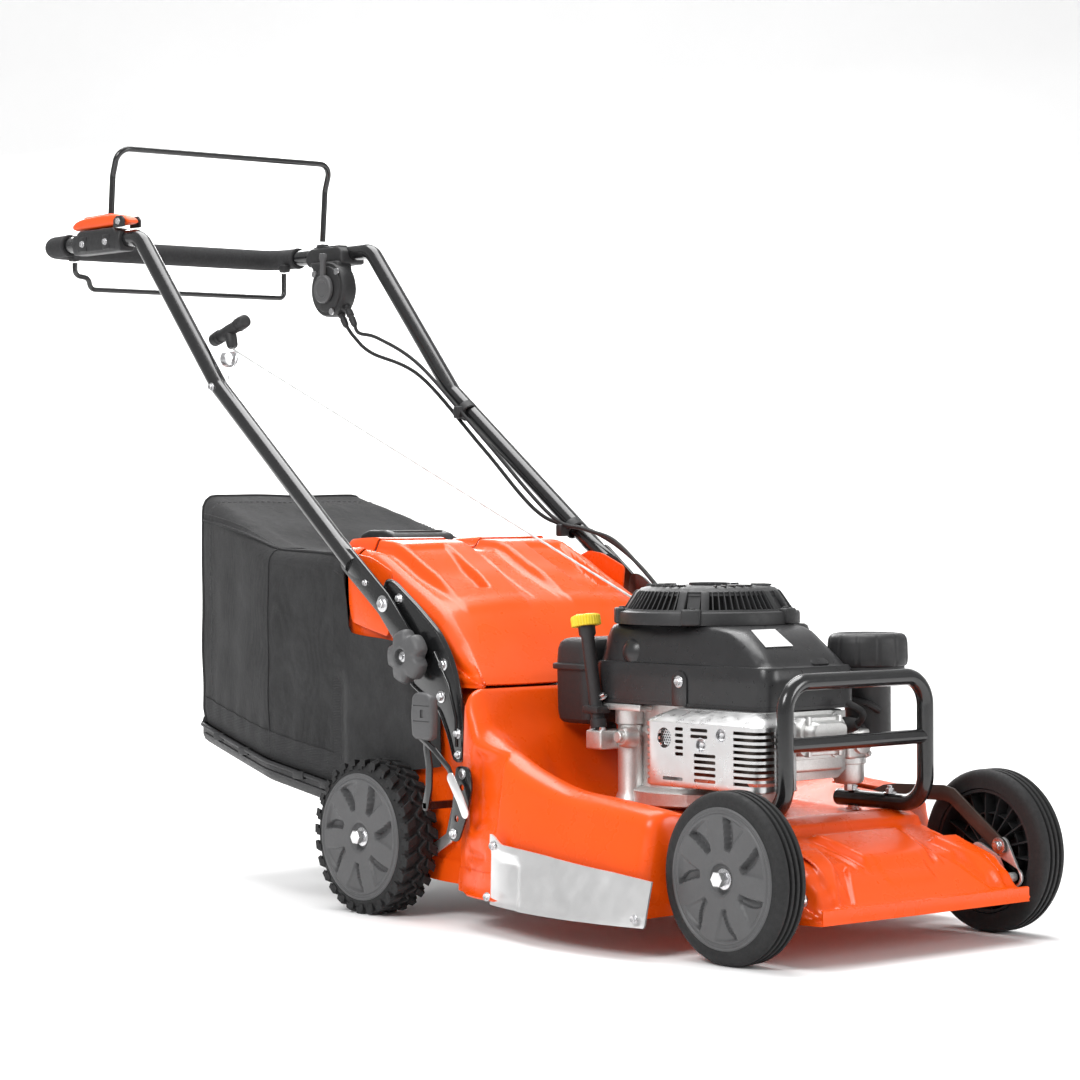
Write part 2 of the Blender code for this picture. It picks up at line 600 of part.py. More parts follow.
def build_front_crank():
    """Cross rod with two crank arms and stub axles; the left arm also carries the link pin."""
    axle = FRONT_PIVOT + AXLE_OFFSET
    pin = FRONT_PIVOT + LINK_OFFSET
    item = add_object("front_crank", across(FRONT_PIVOT, -0.1950, 0.1950, AXLE_RADIUS), STEEL, 0.4, 0.8,
                      origin=FRONT_PIVOT)
    for _, side in SIDES:
        join(item, arm_plate([FRONT_PIVOT.yz, axle.yz], 0.012, side * 0.1930, side * 0.1970))
        join(item, across(axle, side * 0.1950, side * 0.2500, AXLE_RADIUS))
        join(item, across(axle, side * 0.2466, side * 0.2540, 0.0095, 6))
    join(item, arm_plate([FRONT_PIVOT.yz, pin.yz], 0.010, 0.1930, 0.1970))
    join(item, across(pin, 0.1870, 0.1950, 0.0040))


def build_link_bar():
    """Flat bar from the front crank, over the deck edge and under it to the rear crank."""
    front_pin = FRONT_PIVOT + LINK_OFFSET
    rear_pin = REAR_PIVOT + LINK_OFFSET
    route = [front_pin.yz, (-0.672, 0.1720), (-0.570, 0.1680), (-0.500, 0.1420), (-0.150, 0.1380), rear_pin.yz]
    item = add_object("link_bar", arm_plate(route, 0.0095, 0.1880, 0.1915), STEEL, 0.45, 0.8, origin=front_pin)
    for pin in (front_pin, rear_pin):
        cut(item, across(pin, 0.1800, 0.2000, 0.0048))


def build_rear_axle():
    """Pivot rod, two crank arms, the wheel axle and the height lever, welded into one piece."""
    axle = REAR_PIVOT + AXLE_OFFSET
    pin = REAR_PIVOT + LINK_OFFSET
    item = add_object("rear_axle", across(REAR_PIVOT, -0.2065, 0.2065, AXLE_RADIUS), STEEL, 0.4, 0.8,
                      origin=REAR_PIVOT)
    for _, side in SIDES:
        join(item, arm_plate([REAR_PIVOT.yz, axle.yz], 0.011, side * 0.2042, side * 0.2078))
    join(item, across(axle, -0.2680, 0.2680, AXLE_RADIUS))
    for _, side in SIDES:
        join(item, across(axle, side * 0.2658, side * 0.2730, 0.0095, 6))
    join(item, arm_plate([REAR_PIVOT.yz, pin.yz], 0.010, 0.1920, 0.1955))
    join(item, across(pin, 0.1870, 0.1950, 0.0040))
    lever_foot = [REAR_PIVOT.yz, (-0.165, 0.105), (-0.1800, 0.1500)]
    join(item, arm_plate(lever_foot, 0.007, -0.2078, -0.2042))
    crossing = box((-0.2600, -0.1860, 0.1460), (-0.2042, -0.1760, 0.1560))
    lever_arm = arm_plate([(-0.1820, 0.1500), (-0.1920, 0.1950), (-0.1700, 0.2450)], 0.0065, -0.2600, -0.2560)
    grip = box((-0.2680, -0.2060, 0.2370), (-0.2545, -0.1630, 0.2965))
    join(item, crossing, lever_arm, grip)


def build_gearbox():
    """Drive gearbox on the rear axle, its input shaft and pulley."""
    axle = REAR_PIVOT + AXLE_OFFSET
    case = turned([(0.0066, -0.0380), (0.0250, -0.0380), (0.0290, -0.0300), (0.0290, 0.0300), (0.0250, 0.0380),
                   (0.0066, 0.0380)], axle, (1, 0, 0), 16)
    item = add_object("gearbox", case, BLACK_PLASTIC, 0.5, origin=REAR_PIVOT)
    nose_low, nose_high = GEARBOX_PULLEY.copy(), GEARBOX_PULLEY.copy()
    nose_low.z, nose_high.z = 0.0850, 0.1280
    join(item, rod(nose_low, nose_high, 0.0180, 16))
    shaft_top = GEARBOX_PULLEY.copy()
    shaft_top.z = 0.1520
    join(item, rod(nose_high - Vector((0, 0, 0.004)), shaft_top, 0.0050))
    cut(item, across(axle, -0.0500, 0.0500, 0.0066))
    cut(item, across(REAR_PIVOT, -0.0500, 0.0500, 0.0085))
    half = BELT_WIDTH / 2 + 0.002
    radius = GEARBOX_PULLEY_RADIUS
    groove = [(0.0055, -half), (radius + 0.007, -half), (radius + 0.007, -half + 0.0017), (radius, -half + 0.0019),
              (radius, half - 0.0019), (radius + 0.007, half - 0.0017), (radius + 0.007, half), (0.0055, half)]
    add_object("gearbox_pulley", turned(groove, GEARBOX_PULLEY, (0, 0, 1)), GREY_PLASTIC, 0.5,
               origin=GEARBOX_PULLEY)


def build_drive_belt():
    """Flat belt around the crankshaft pulley and the gearbox pulley."""
    front, rear = Vector((0, CRANK_AXIS_Y, 0)), Vector((GEARBOX_PULLEY.x, GEARBOX_PULLEY.y, 0))
    distance = (rear - front).length
    small, large = CRANK_PULLEY_RADIUS + GAP, GEARBOX_PULLEY_RADIUS + GAP
    lean = math.asin((large - small) / distance)

    def loop(extra, z):
        points = []
        for centre, radius, start, end in ((front, small + extra, math.pi - lean, 2 * math.pi + lean),
                                           (rear, large + extra, lean, math.pi - lean)):
            for i in range(11):
                turn = start + (end - start) * i / 10
                points.append((centre.x + radius * math.cos(turn), centre.y + radius * math.sin(turn), z))
        return points

    low, high = PULLEY_PLANE_Z - BELT_WIDTH / 2, PULLEY_PLANE_Z + BELT_WIDTH / 2
    rings = [loop(BELT_THICKNESS, low), loop(BELT_THICKNESS, high), loop(0.0004, high), loop(0.0004, low)]
    mesh = skin_sections(rings, cap_ends=False)
    mesh.verts.ensure_lookup_table()
    count = len(rings[0])
    for i in range(count):
        j = (i + 1) % count
        mesh.faces.new([mesh.verts[k] for k in (3 * count + i, 3 * count + j, j, i)])
    add_object("drive_belt", mesh, RUBBER, 0.8)


def build_wheel(name, side, axle_y, tyre_span):
    """Tyre and rim; distances along the axle are counted outwards from the middle of the mower."""
    inner, outer = tyre_span
    centre = Vector((0, axle_y, WHEEL_RADIUS))
    axis = (side, 0, 0)
    radius = WHEEL_RADIUS
    tyre = [(TYRE_INNER_RADIUS, inner), (radius - 0.010, inner), (radius - 0.003, inner + 0.004),
            (radius, inner + 0.010), (radius, outer - 0.010), (radius - 0.003, outer - 0.004),
            (radius - 0.010, outer), (TYRE_INNER_RADIUS, outer)]
    add_object("tyre_" + name, turned(tyre, centre, axis, WHEEL_SIDES, flat_down=True), RUBBER, 0.85, origin=centre)
    bore, barrel = AXLE_RADIUS + 0.0006, TYRE_INNER_RADIUS - GAP
    face = outer + 0.0020
    rim = [(bore, inner + 0.0020), (0.0150, inner + 0.0020), (0.0150, face - 0.0150), (barrel - 0.004, face - 0.0110),
           (barrel - 0.004, inner + 0.003), (barrel, inner + 0.003), (barrel, outer + GAP),
           (RIM_DISC_RADIUS, outer + GAP), (RIM_DISC_RADIUS, face), (0.0240, face - 0.0010),
           (0.0180, face - 0.0050), (bore, face - 0.0050)]
    add_object("rim_" + name, turned(rim, centre, axis, WHEEL_SIDES, flat_down=True), GREY_PLASTIC, 0.5, origin=centre)


def build_wheels():
    for place, axle_y, span in (("front", FRONT_AXLE_Y, FRONT_TYRE), ("rear", REAR_AXLE_Y, REAR_TYRE)):
        for name, side in SIDES:
            build_wheel(place + "_" + name, side, axle_y, span)


# ---------------------------------------------------------------- handle
def handle_tube_path():
    bend_y, bend_z = HANDLE_BEND
    right = [(-HANDLE_END_X + 0.002, 0.014, 0.4560), (-HANDLE_X, 0.345, 0.7033), (-HANDLE_X, bend_y, bend_z),
             (-HANDLE_X, HANDLE_REAR_Y, bend_z)]
    return right + [(-x, y, z) for x, y, z in reversed(right)]


def build_handlebar():
    item = add_object("handlebar", bent_tube(rounded_path(handle_tube_path(), BEND_RADIUS), HANDLE_RADIUS, 12),
                      BLACK_PAINT, 0.4, origin=FOLD_AXIS)
    for _, side in SIDES:
        tail = arm_plate([(0.022, 0.4620), (-0.055, 0.4060), FOLD_AXIS.yz], 0.0165, side * (HANDLE_END_X - 0.0025),
                         side * (HANDLE_END_X + 0.0025))
        join(item, tail)
        cut(item, across(FOLD_AXIS, side * 0.2100, side * 0.2400, 0.0056))


def build_grip():
    bend_z = HANDLE_BEND[1]
    route = [(-HANDLE_X, 0.735, bend_z), (-HANDLE_X, HANDLE_REAR_Y, bend_z), (HANDLE_X, HANDLE_REAR_Y, bend_z),
             (HANDLE_X, 0.735, bend_z)]
    path = rounded_path(route, BEND_RADIUS)
    add_object("grip", sleeve(path, 0.0160, HANDLE_RADIUS + 0.0012), RUBBER, 0.9, origin=FOLD_AXIS)


def tube_clearance(side):
    bend_y, bend_z = HANDLE_BEND
    path = rounded_path([(side * HANDLE_X, 0.345, 0.7033), (side * HANDLE_X, bend_y, bend_z),
                         (side * HANDLE_X, HANDLE_REAR_Y, bend_z)], BEND_RADIUS)
    return bent_tube(path, HANDLE_RADIUS + 0.0012, 12)


def build_handle_mounts():
    mount = add_object("lever_mount", box((-0.2285, 0.590, 0.9115), (-0.2003, 0.690, 0.9455)), BLACK_PLASTIC,
                       0.5, origin=FOLD_AXIS)
    cut(mount, tube_clearance(-1.0))
    control = add_object("control_box", box((0.1850, 0.590, 0.9085), (0.2300, 0.682, 0.9375)), BLACK_PLASTIC,
                         0.5, origin=FOLD_AXIS)
    join(control, rod((0.1720, 0.612, 0.8710), (0.2080, 0.612, 0.8710), 0.0430, 20))
    for dy in (0.0, 0.022):
        join(control, rod((0.1900, 0.585 + dy, 0.850), (0.1900, 0.560 + dy, 0.812), 0.0055, 8))
    cut(control, tube_clearance(1.0))


def build_knobs():
    for name, side in SIDES:
        start = FOLD_AXIS + Vector((side * (HANDLE_END_X + 0.0030), 0, 0))
        knob = add_object("knob_" + name, turned([(0.0, 0.0), (0.0260, 0.0), (0.0345, 0.0060), (0.0345, 0.0170),
                                                  (0.0250, 0.0230), (0.0, 0.0240)], start, (side, 0, 0), 20),
                          BLACK_PLASTIC, 0.5, origin=start)
        bolt_end = FOLD_AXIS + Vector((side * 0.2105, 0, 0))
        join(knob, rod(start + Vector((side * 0.004, 0, 0)), bolt_end, 0.0045))
        for i in range(5):
            turn = 2 * math.pi * (i + 0.5) / 5
            centre = start + Vector((0, 0.0424 * math.cos(turn), 0.0424 * math.sin(turn)))
            cut(knob, rod(centre - Vector((0.05, 0, 0)), centre + Vector((0.05, 0, 0)), 0.0137, 11))


def build_bails():
    half, pivot_y, pivot_z = 0.1950, BAIL_PIVOT.y, BAIL_PIVOT.z
    loop = [(-half, pivot_y, pivot_z), (-half, 0.6430, 1.0270), (-half, 0.6280, 1.0665),
            (half, 0.6280, 1.0665), (half, 0.6430, 1.0270), (half, pivot_y, pivot_z)]
    add_object("blade_bail", bent_tube(rounded_path(loop, 0.026), 0.0045, 8), BLACK_PAINT, 0.4, origin=BAIL_PIVOT)
    y, z = DRIVE_BAIL_PIVOT.y, DRIVE_BAIL_PIVOT.z
    loop = [(-0.1935, y, z), (-0.1935, y, 0.8850), (-0.1700, y, 0.8820), (-0.1660, y, 0.8650),
            (0.1935, y, 0.8650), (0.1935, y, z)]
    add_object("drive_bail", bent_tube(rounded_path(loop, 0.010), 0.0040, 8), BLACK_PAINT, 0.4,
               origin=DRIVE_BAIL_PIVOT)


def build_levers():
    outline = [(0.558, 0.9485), (0.700, 0.9460), (0.713, 0.9460), (0.713, 0.9560), (0.690, 0.9640),
               (0.600, 0.9660), (0.566, 0.9580)]
    add_object("lock_lever", plate(outline, -0.2240, -0.2030), ORANGE, 0.4, origin=(0, 0.575, 0.9500))
    centre = Vector((0.1715, 0.612, 0.871))
    dial = add_object("throttle_lever", rod(centre, centre - Vector((0.008, 0, 0)), 0.022, 16), BLACK_PLASTIC, 0.5,
                      origin=centre)
    join(dial, box((0.1645, 0.6060, 0.8800), (0.1705, 0.6180, 0.9260)))


def build_starter():
    """Pull handle resting in its wire eye on the right tube, and its rope to the recoil housing."""
    low = Vector((-0.1800, 0.3560, 0.7600))
    along = STARTER_PULL
    item = add_object("starter_handle", rod(low, low + along * 0.022, 0.0085), BLACK_PLASTIC, 0.5, origin=low)
    bar = low + along * 0.026
    half_bar = 0.043 * along.cross(Vector((1, 0, 0)))
    join(item, rod(bar - half_bar, bar + half_bar, 0.0095))
    eye = low - Vector((0.0, 0.0010, 0.0020))
    outlet = Vector((-0.0200, CRANK_AXIS_Y + 0.119, 0.4130))
    add_object("starter_rope", rod(eye, outlet, 0.0015, 6), (0.7, 0.7, 0.7), 0.7)


def build_cables():
    """Two control cables from the glands of the control box down the left tube to the engine."""
    def along_tube(y, x, drop):
        """A point beside the straight part of the left handle tube."""
        slope_y, slope_z = 0.801, 0.5985
        return (x, y + slope_z * drop, 0.456 + (y - 0.014) * slope_z / slope_y - slope_y * drop)

    routes = {
        "throttle_cable": [(0.1900, 0.5580, 0.8090), (0.1905, 0.5000, 0.7900), along_tube(0.400, 0.1925, 0.0),
                           along_tube(0.250, 0.1925, 0.0), along_tube(0.100, 0.1925, 0.0),
                           (0.1880, 0.0200, 0.5000), (0.1700, -0.0600, 0.4860), (0.1400, -0.1500, 0.4500),
                           (0.1180, -0.2400, 0.4000), (0.1080, -0.3300, 0.3500), (0.1050, -0.3900, 0.3250)],
        "brake_cable": [(0.1900, 0.5800, 0.8090), (0.1985, 0.5300, 0.7700), along_tube(0.400, 0.2010, 0.0185),
                        along_tube(0.250, 0.2010, 0.0185), along_tube(0.120, 0.1990, 0.0170),
                        (0.2000, 0.0200, 0.4980), (0.1850, -0.0700, 0.4680), (0.1600, -0.1600, 0.4250),
                        (0.1300, -0.2500, 0.3700), (0.1120, -0.3300, 0.3180), (0.1050, -0.3900, 0.2990)],
    }
    for name, points in routes.items():
        path = smooth_route(points, 3)
        add_object(name, bent_tube(path, 0.0028, 6), RUBBER, 0.6, origin=FOLD_AXIS)


def smooth_route(points, steps):
    """A smooth curve through every given point."""
    points = [Vector(p) for p in points]
    padded = [2 * points[0] - points[1]] + points + [2 * points[-1] - points[-2]]
    route = []
    for before, start, end, after in zip(padded, padded[1:], padded[2:], padded[3:]):
        for i in range(steps):
            t = i / steps
            route.append(0.5 * (2 * start + (end - before) * t
                                + (2 * before - 5 * start + 4 * end - after) * t * t
                                + (3 * start - before - 3 * end + after) * t ** 3))
    route.append(points[-1])
    return route


# ---------------------------------------------------------------- discharge flap and grass bag
def build_flap():
    """Sprung rear flap with a cheek on each side; it closes the tunnel when the bag is off."""
    y0, z0 = FLAP_HINGE.y - 0.0015, FLAP_HINGE.z - 0.0015
    item = add_object("discharge_flap", box((-0.2062, y0, z0), (0.2062, 0.1250, z0 + 0.003)), ORANGE, 0.4,
                      origin=FLAP_HINGE)
    cheek = [(-0.036, 0.361), (0.043, 0.379), (0.047, 0.440), (0.125, 0.474), (0.125, z0 + 0.002),
             (0.000, z0 + 0.002), (-0.046, 0.478)]
    for _, side in SIDES:
        join(item, plate(cheek, side * 0.2034, side * 0.2062))


def bag_section(y, half, low, high, corner):
    half_low = half - 0.004
    right = [(-half_low, low), (-half, low + 0.02), (-half, high - corner), (-half + 0.3 * corner, high - 0.3 * corner),
             (-half + corner, high)]
    left = [(-x, z) for x, z in reversed(right)]
    return [(x, y, z) for x, z in right + left]


BAG_STATIONS = [(0.0780, 0.1920, 0.1550, 0.4715), (0.2530, 0.1960, 0.1830, 0.4740),
                (0.4000, 0.1650, 0.2070, 0.5240), (0.4830, 0.1450, 0.2215, 0.5500)]


def build_bag():
    """Fabric hood on a plastic tray; both are open towards the deck and towards each other."""
    wall = 0.003
    outer = [bag_section(*station, 0.020) for station in BAG_STATIONS]
    fabric = add_object("bag_fabric", skin_sections(outer), FABRIC, 0.95)
    inner_stations = [(BAG_STATIONS[0][0] - 0.01, *BAG_STATIONS[0][1:]), *BAG_STATIONS[1:-1],
                      (BAG_STATIONS[-1][0] - wall, *BAG_STATIONS[-1][1:])]
    inner = [bag_section(y, half - wall, low - 0.02, high - wall, 0.020) for y, half, low, high in inner_stations]
    cut(fabric, skin_sections(inner))
    tray_stations = [(0.0780, 0.1950, 0.1240, 0.1540), (0.2530, 0.1990, 0.1530, 0.1820),
                     (0.4000, 0.1680, 0.1780, 0.2060), (0.4860, 0.1480, 0.1920, 0.2205)]

    def tray_section(y, half, low, high):
        return [(-half, y, high), (-half, y, low + 0.008), (-half + 0.010, y, low), (half - 0.010, y, low),
                (half, y, low + 0.008), (half, y, high)]

    tray = add_object("bag_tray", skin_sections([tray_section(*s) for s in tray_stations]), BLACK_PLASTIC, 0.6)
    hollow_ys = [0.0680, 0.2530, 0.4000, 0.4830]
    hollow = [tray_section(y, half - 0.007, low + wall, high + 0.02)
              for y, (_, half, low, high) in zip(hollow_ys, tray_stations)]
    cut(tray, skin_sections(hollow))
    y = BAG_STATIONS[0][0] - 0.0055
    loop = [(-0.1800, y, 0.1900), (-0.1800, y, 0.4580), (0.1800, y, 0.4580), (0.1800, y, 0.1900),
            (-0.1800, y, 0.1900)]
    build_mouth_frame(loop)
    grip = add_object("bag_handle", plate([(0.140, 0.4760), (0.150, 0.4960), (0.172, 0.5010), (0.205, 0.5010),
                                           (0.222, 0.4960), (0.232, 0.4760)], -0.055, 0.055), BLACK_PLASTIC, 0.5)
    cut(grip, box((-0.040, 0.100, 0.4700), (0.040, 0.260, 0.4900)))


def build_mouth_frame(loop):
    """Closed wire rectangle that holds the mouth of the bag open."""
    radius = 0.004
    frame = add_object("bag_frame", rod(loop[0], loop[1], radius, 8), STEEL, 0.4, 0.7)
    for start, end in zip(loop[1:], loop[2:]):
        join(frame, rod(start, end, radius, 8))


def build_all():
    clear_scene()
    build_deck()
    build_rear_cover()
    build_side_skirts()
    build_handle_plates()
    build_rear_baffle()
    build_quadrant()
    build_front_guard()
    build_engine_block()
    build_valve_cover()
    build_muffler()
    build_fan_shroud()
    build_recoil_housing()
    build_recoil_pulley()
    build_fuel_tank()
    build_intake()
    build_oil_filler()
    build_rotor()
    build_front_crank()
    build_link_bar()
    build_rear_axle()
    build_gearbox()
    build_drive_belt()
    build_wheels()
    build_handlebar()
    build_grip()
    build_handle_mounts()
    build_knobs()
    build_bails()
    build_levers()
    build_starter()
    build_cables()
    build_flap()
    build_bag()


build_all()
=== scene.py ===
"""Looks of a walk-behind petrol lawn mower with a rear grass collector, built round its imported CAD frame.

Frame: metres, +Z up, the mower drives towards -Y, its right-hand side is -X.
"""
import json
import math

import bmesh
import bpy
from mathutils import Matrix, Vector

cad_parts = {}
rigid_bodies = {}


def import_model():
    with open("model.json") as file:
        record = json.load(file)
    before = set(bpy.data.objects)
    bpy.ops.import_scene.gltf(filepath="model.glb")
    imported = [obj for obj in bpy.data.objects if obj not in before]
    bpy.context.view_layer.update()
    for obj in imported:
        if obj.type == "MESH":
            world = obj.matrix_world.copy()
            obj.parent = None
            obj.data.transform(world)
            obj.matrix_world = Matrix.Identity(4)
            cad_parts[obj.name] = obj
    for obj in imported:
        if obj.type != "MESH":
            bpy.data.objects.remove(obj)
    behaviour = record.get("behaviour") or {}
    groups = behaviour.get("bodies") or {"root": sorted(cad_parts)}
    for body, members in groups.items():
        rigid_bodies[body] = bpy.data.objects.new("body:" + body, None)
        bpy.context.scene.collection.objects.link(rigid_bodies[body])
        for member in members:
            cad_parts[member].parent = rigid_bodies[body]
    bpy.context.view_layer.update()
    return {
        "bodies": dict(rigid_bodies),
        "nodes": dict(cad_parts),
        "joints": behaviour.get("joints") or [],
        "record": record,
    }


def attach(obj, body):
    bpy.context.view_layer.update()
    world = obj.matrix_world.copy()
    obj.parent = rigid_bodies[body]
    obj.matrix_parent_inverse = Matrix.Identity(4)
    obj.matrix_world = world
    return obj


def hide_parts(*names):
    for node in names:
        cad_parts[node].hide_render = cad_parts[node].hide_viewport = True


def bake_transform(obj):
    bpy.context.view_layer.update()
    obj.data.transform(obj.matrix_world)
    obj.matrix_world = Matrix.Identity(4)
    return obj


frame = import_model()
NODES = frame["nodes"]

WHEEL_RADIUS = 0.1015
FRONT_AXLE_Y = -0.715
REAR_AXLE_Y = -0.048
CRANK_Y = -0.435
FRONT_PIVOT = Vector((0.0, -0.775, 0.075))
REAR_PIVOT = Vector((0.0, -0.108, 0.075))
FOLD_AXIS = Vector((0.0, -0.121, 0.339))
HANDLE_X = 0.211
HANDLE_RADIUS = 0.0125
SIDES = (("right", -1.0), ("left", 1.0))
PANEL = 0.0025                   # wall of the pressed deck and cover
CRANK_PIN = Vector((0, 0.02, 0.0375))   # from a height pivot to the pin of the link bar
ENGINE_CENTRE = Vector((0, CRANK_Y, 0))


# ---------------------------------------------------------------- materials
def colour_band(rgb, change):
    """The darker and lighter ends of a colour that varies over its surface."""
    return [tuple(min(1.0, c * k) for c in rgb) + (1.0,) for k in (1 - change, 1 + change)]


class Finish:
    """One procedural material, built node by node on object coordinates."""

    def __init__(self, name, rgb, change=0.08, patch=14.0, rough=(0.35, 0.5), metallic=0.0, spots=0.0,
                 **fixed):
        self.material = bpy.data.materials.new(name)
        self.material.use_nodes = True
        self.nodes = self.material.node_tree.nodes
        self.links = self.material.node_tree.links
        self.shader = self.nodes["Principled BSDF"]
        self.shader.inputs["Metallic"].default_value = metallic
        for socket, value in fixed.items():
            self.shader.inputs[socket.replace("_", " ")].default_value = value
        self.place = self.nodes.new("ShaderNodeTexCoord").outputs["Object"]
        self.height = None
        tone = self.noise(patch, 4.0, 0.6)
        if spots:
            speckle = self.noise(spots, 2.0, 0.7)
            tone = self.maths("ADD", self.maths("MULTIPLY", tone, 0.45),
                              self.maths("MULTIPLY", speckle, 0.55))
        self.colour = self.ramp(tone, colour_band(rgb, change))
        self.links.new(self.colour, self.shader.inputs["Base Color"])
        self.rough = self.spread(self.noise(patch * 5, 3.0, 0.6), *rough)
        self.links.new(self.rough, self.shader.inputs["Roughness"])

    def node(self, kind, **settings):
        made = self.nodes.new(kind)
        for name, value in settings.items():
            setattr(made, name, value)
        return made

    def noise(self, scale, detail=3.0, roughness=0.5, stretch=None):
        made = self.node("ShaderNodeTexNoise")
        made.inputs["Scale"].default_value = scale
        made.inputs["Detail"].default_value = detail
        made.inputs["Roughness"].default_value = roughness
        self.links.new(self.stretched(stretch), made.inputs["Vector"])
        return made.outputs["Fac"]

    def stretched(self, factors):
        if factors is None:
            return self.place
        mapping = self.node("ShaderNodeMapping")
        mapping.inputs["Scale"].default_value = factors
        self.links.new(self.place, mapping.inputs["Vector"])
        return mapping.outputs["Vector"]

    def maths(self, operation, first, second):
        made = self.node("ShaderNodeMath", operation=operation)
        for socket, value in zip(made.inputs, (first, second)):
            if isinstance(value, (int, float)):
                socket.default_value = value
            else:
                self.links.new(value, socket)
        return made.outputs[0]

    def ramp(self, factor, colours, low=0.3, high=0.7):
        made = self.node("ShaderNodeValToRGB")
        made.color_ramp.elements[0].position = low
        made.color_ramp.elements[1].position = high
        made.color_ramp.elements[0].color = colours[0]
        made.color_ramp.elements[1].color = colours[1]
        self.links.new(factor, made.inputs["Fac"])
        return made.outputs["Color"]

    def spread(self, factor, low, high):
        made = self.node("ShaderNodeMapRange")
        made.inputs["From Min"].default_value = 0.3
        made.inputs["From Max"].default_value = 0.7
        made.inputs["To Min"].default_value = low
        made.inputs["To Max"].default_value = high
        self.links.new(factor, made.inputs["Value"])
        return made.outputs["Result"]

    def bump(self, factor, depth, strength=1.0):
        """Add a relief of this depth in metres on top of what the surface has already."""
        made = self.node("ShaderNodeBump")
        made.inputs["Strength"].default_value = strength
        made.inputs["Distance"].default_value = depth
        self.links.new(factor, made.inputs["Height"])
        if self.height is not None:
            self.links.new(self.height, made.inputs["Normal"])
        self.height = made.outputs["Normal"]
        self.links.new(self.height, self.shader.inputs["Normal"])
        return self

    def grain(self, scale, depth, detail=2.0, stretch=None):
        return self.bump(self.noise(scale, detail, 0.55, stretch), depth)


def weave_relief(finish, pitch):
    """Over-and-under relief of a plain woven cloth, thread by thread."""
    waves = []
    for direction in ("X", "Z", "Y"):
        wave = finish.node("ShaderNodeTexWave", wave_type="BANDS", bands_direction=direction,
                           wave_profile="SIN")
        wave.inputs["Scale"].default_value = 0.314 / pitch
        wave.inputs["Distortion"].default_value = 0.5
        wave.inputs["Detail"].default_value = 1.0
        finish.links.new(finish.place, wave.inputs["Vector"])
        waves.append(wave.outputs["Fac"])
    crossing = finish.maths("MAXIMUM", finish.maths("MULTIPLY", waves[0], waves[1]),
                            finish.maths("MULTIPLY", waves[2], waves[1]))
    return crossing


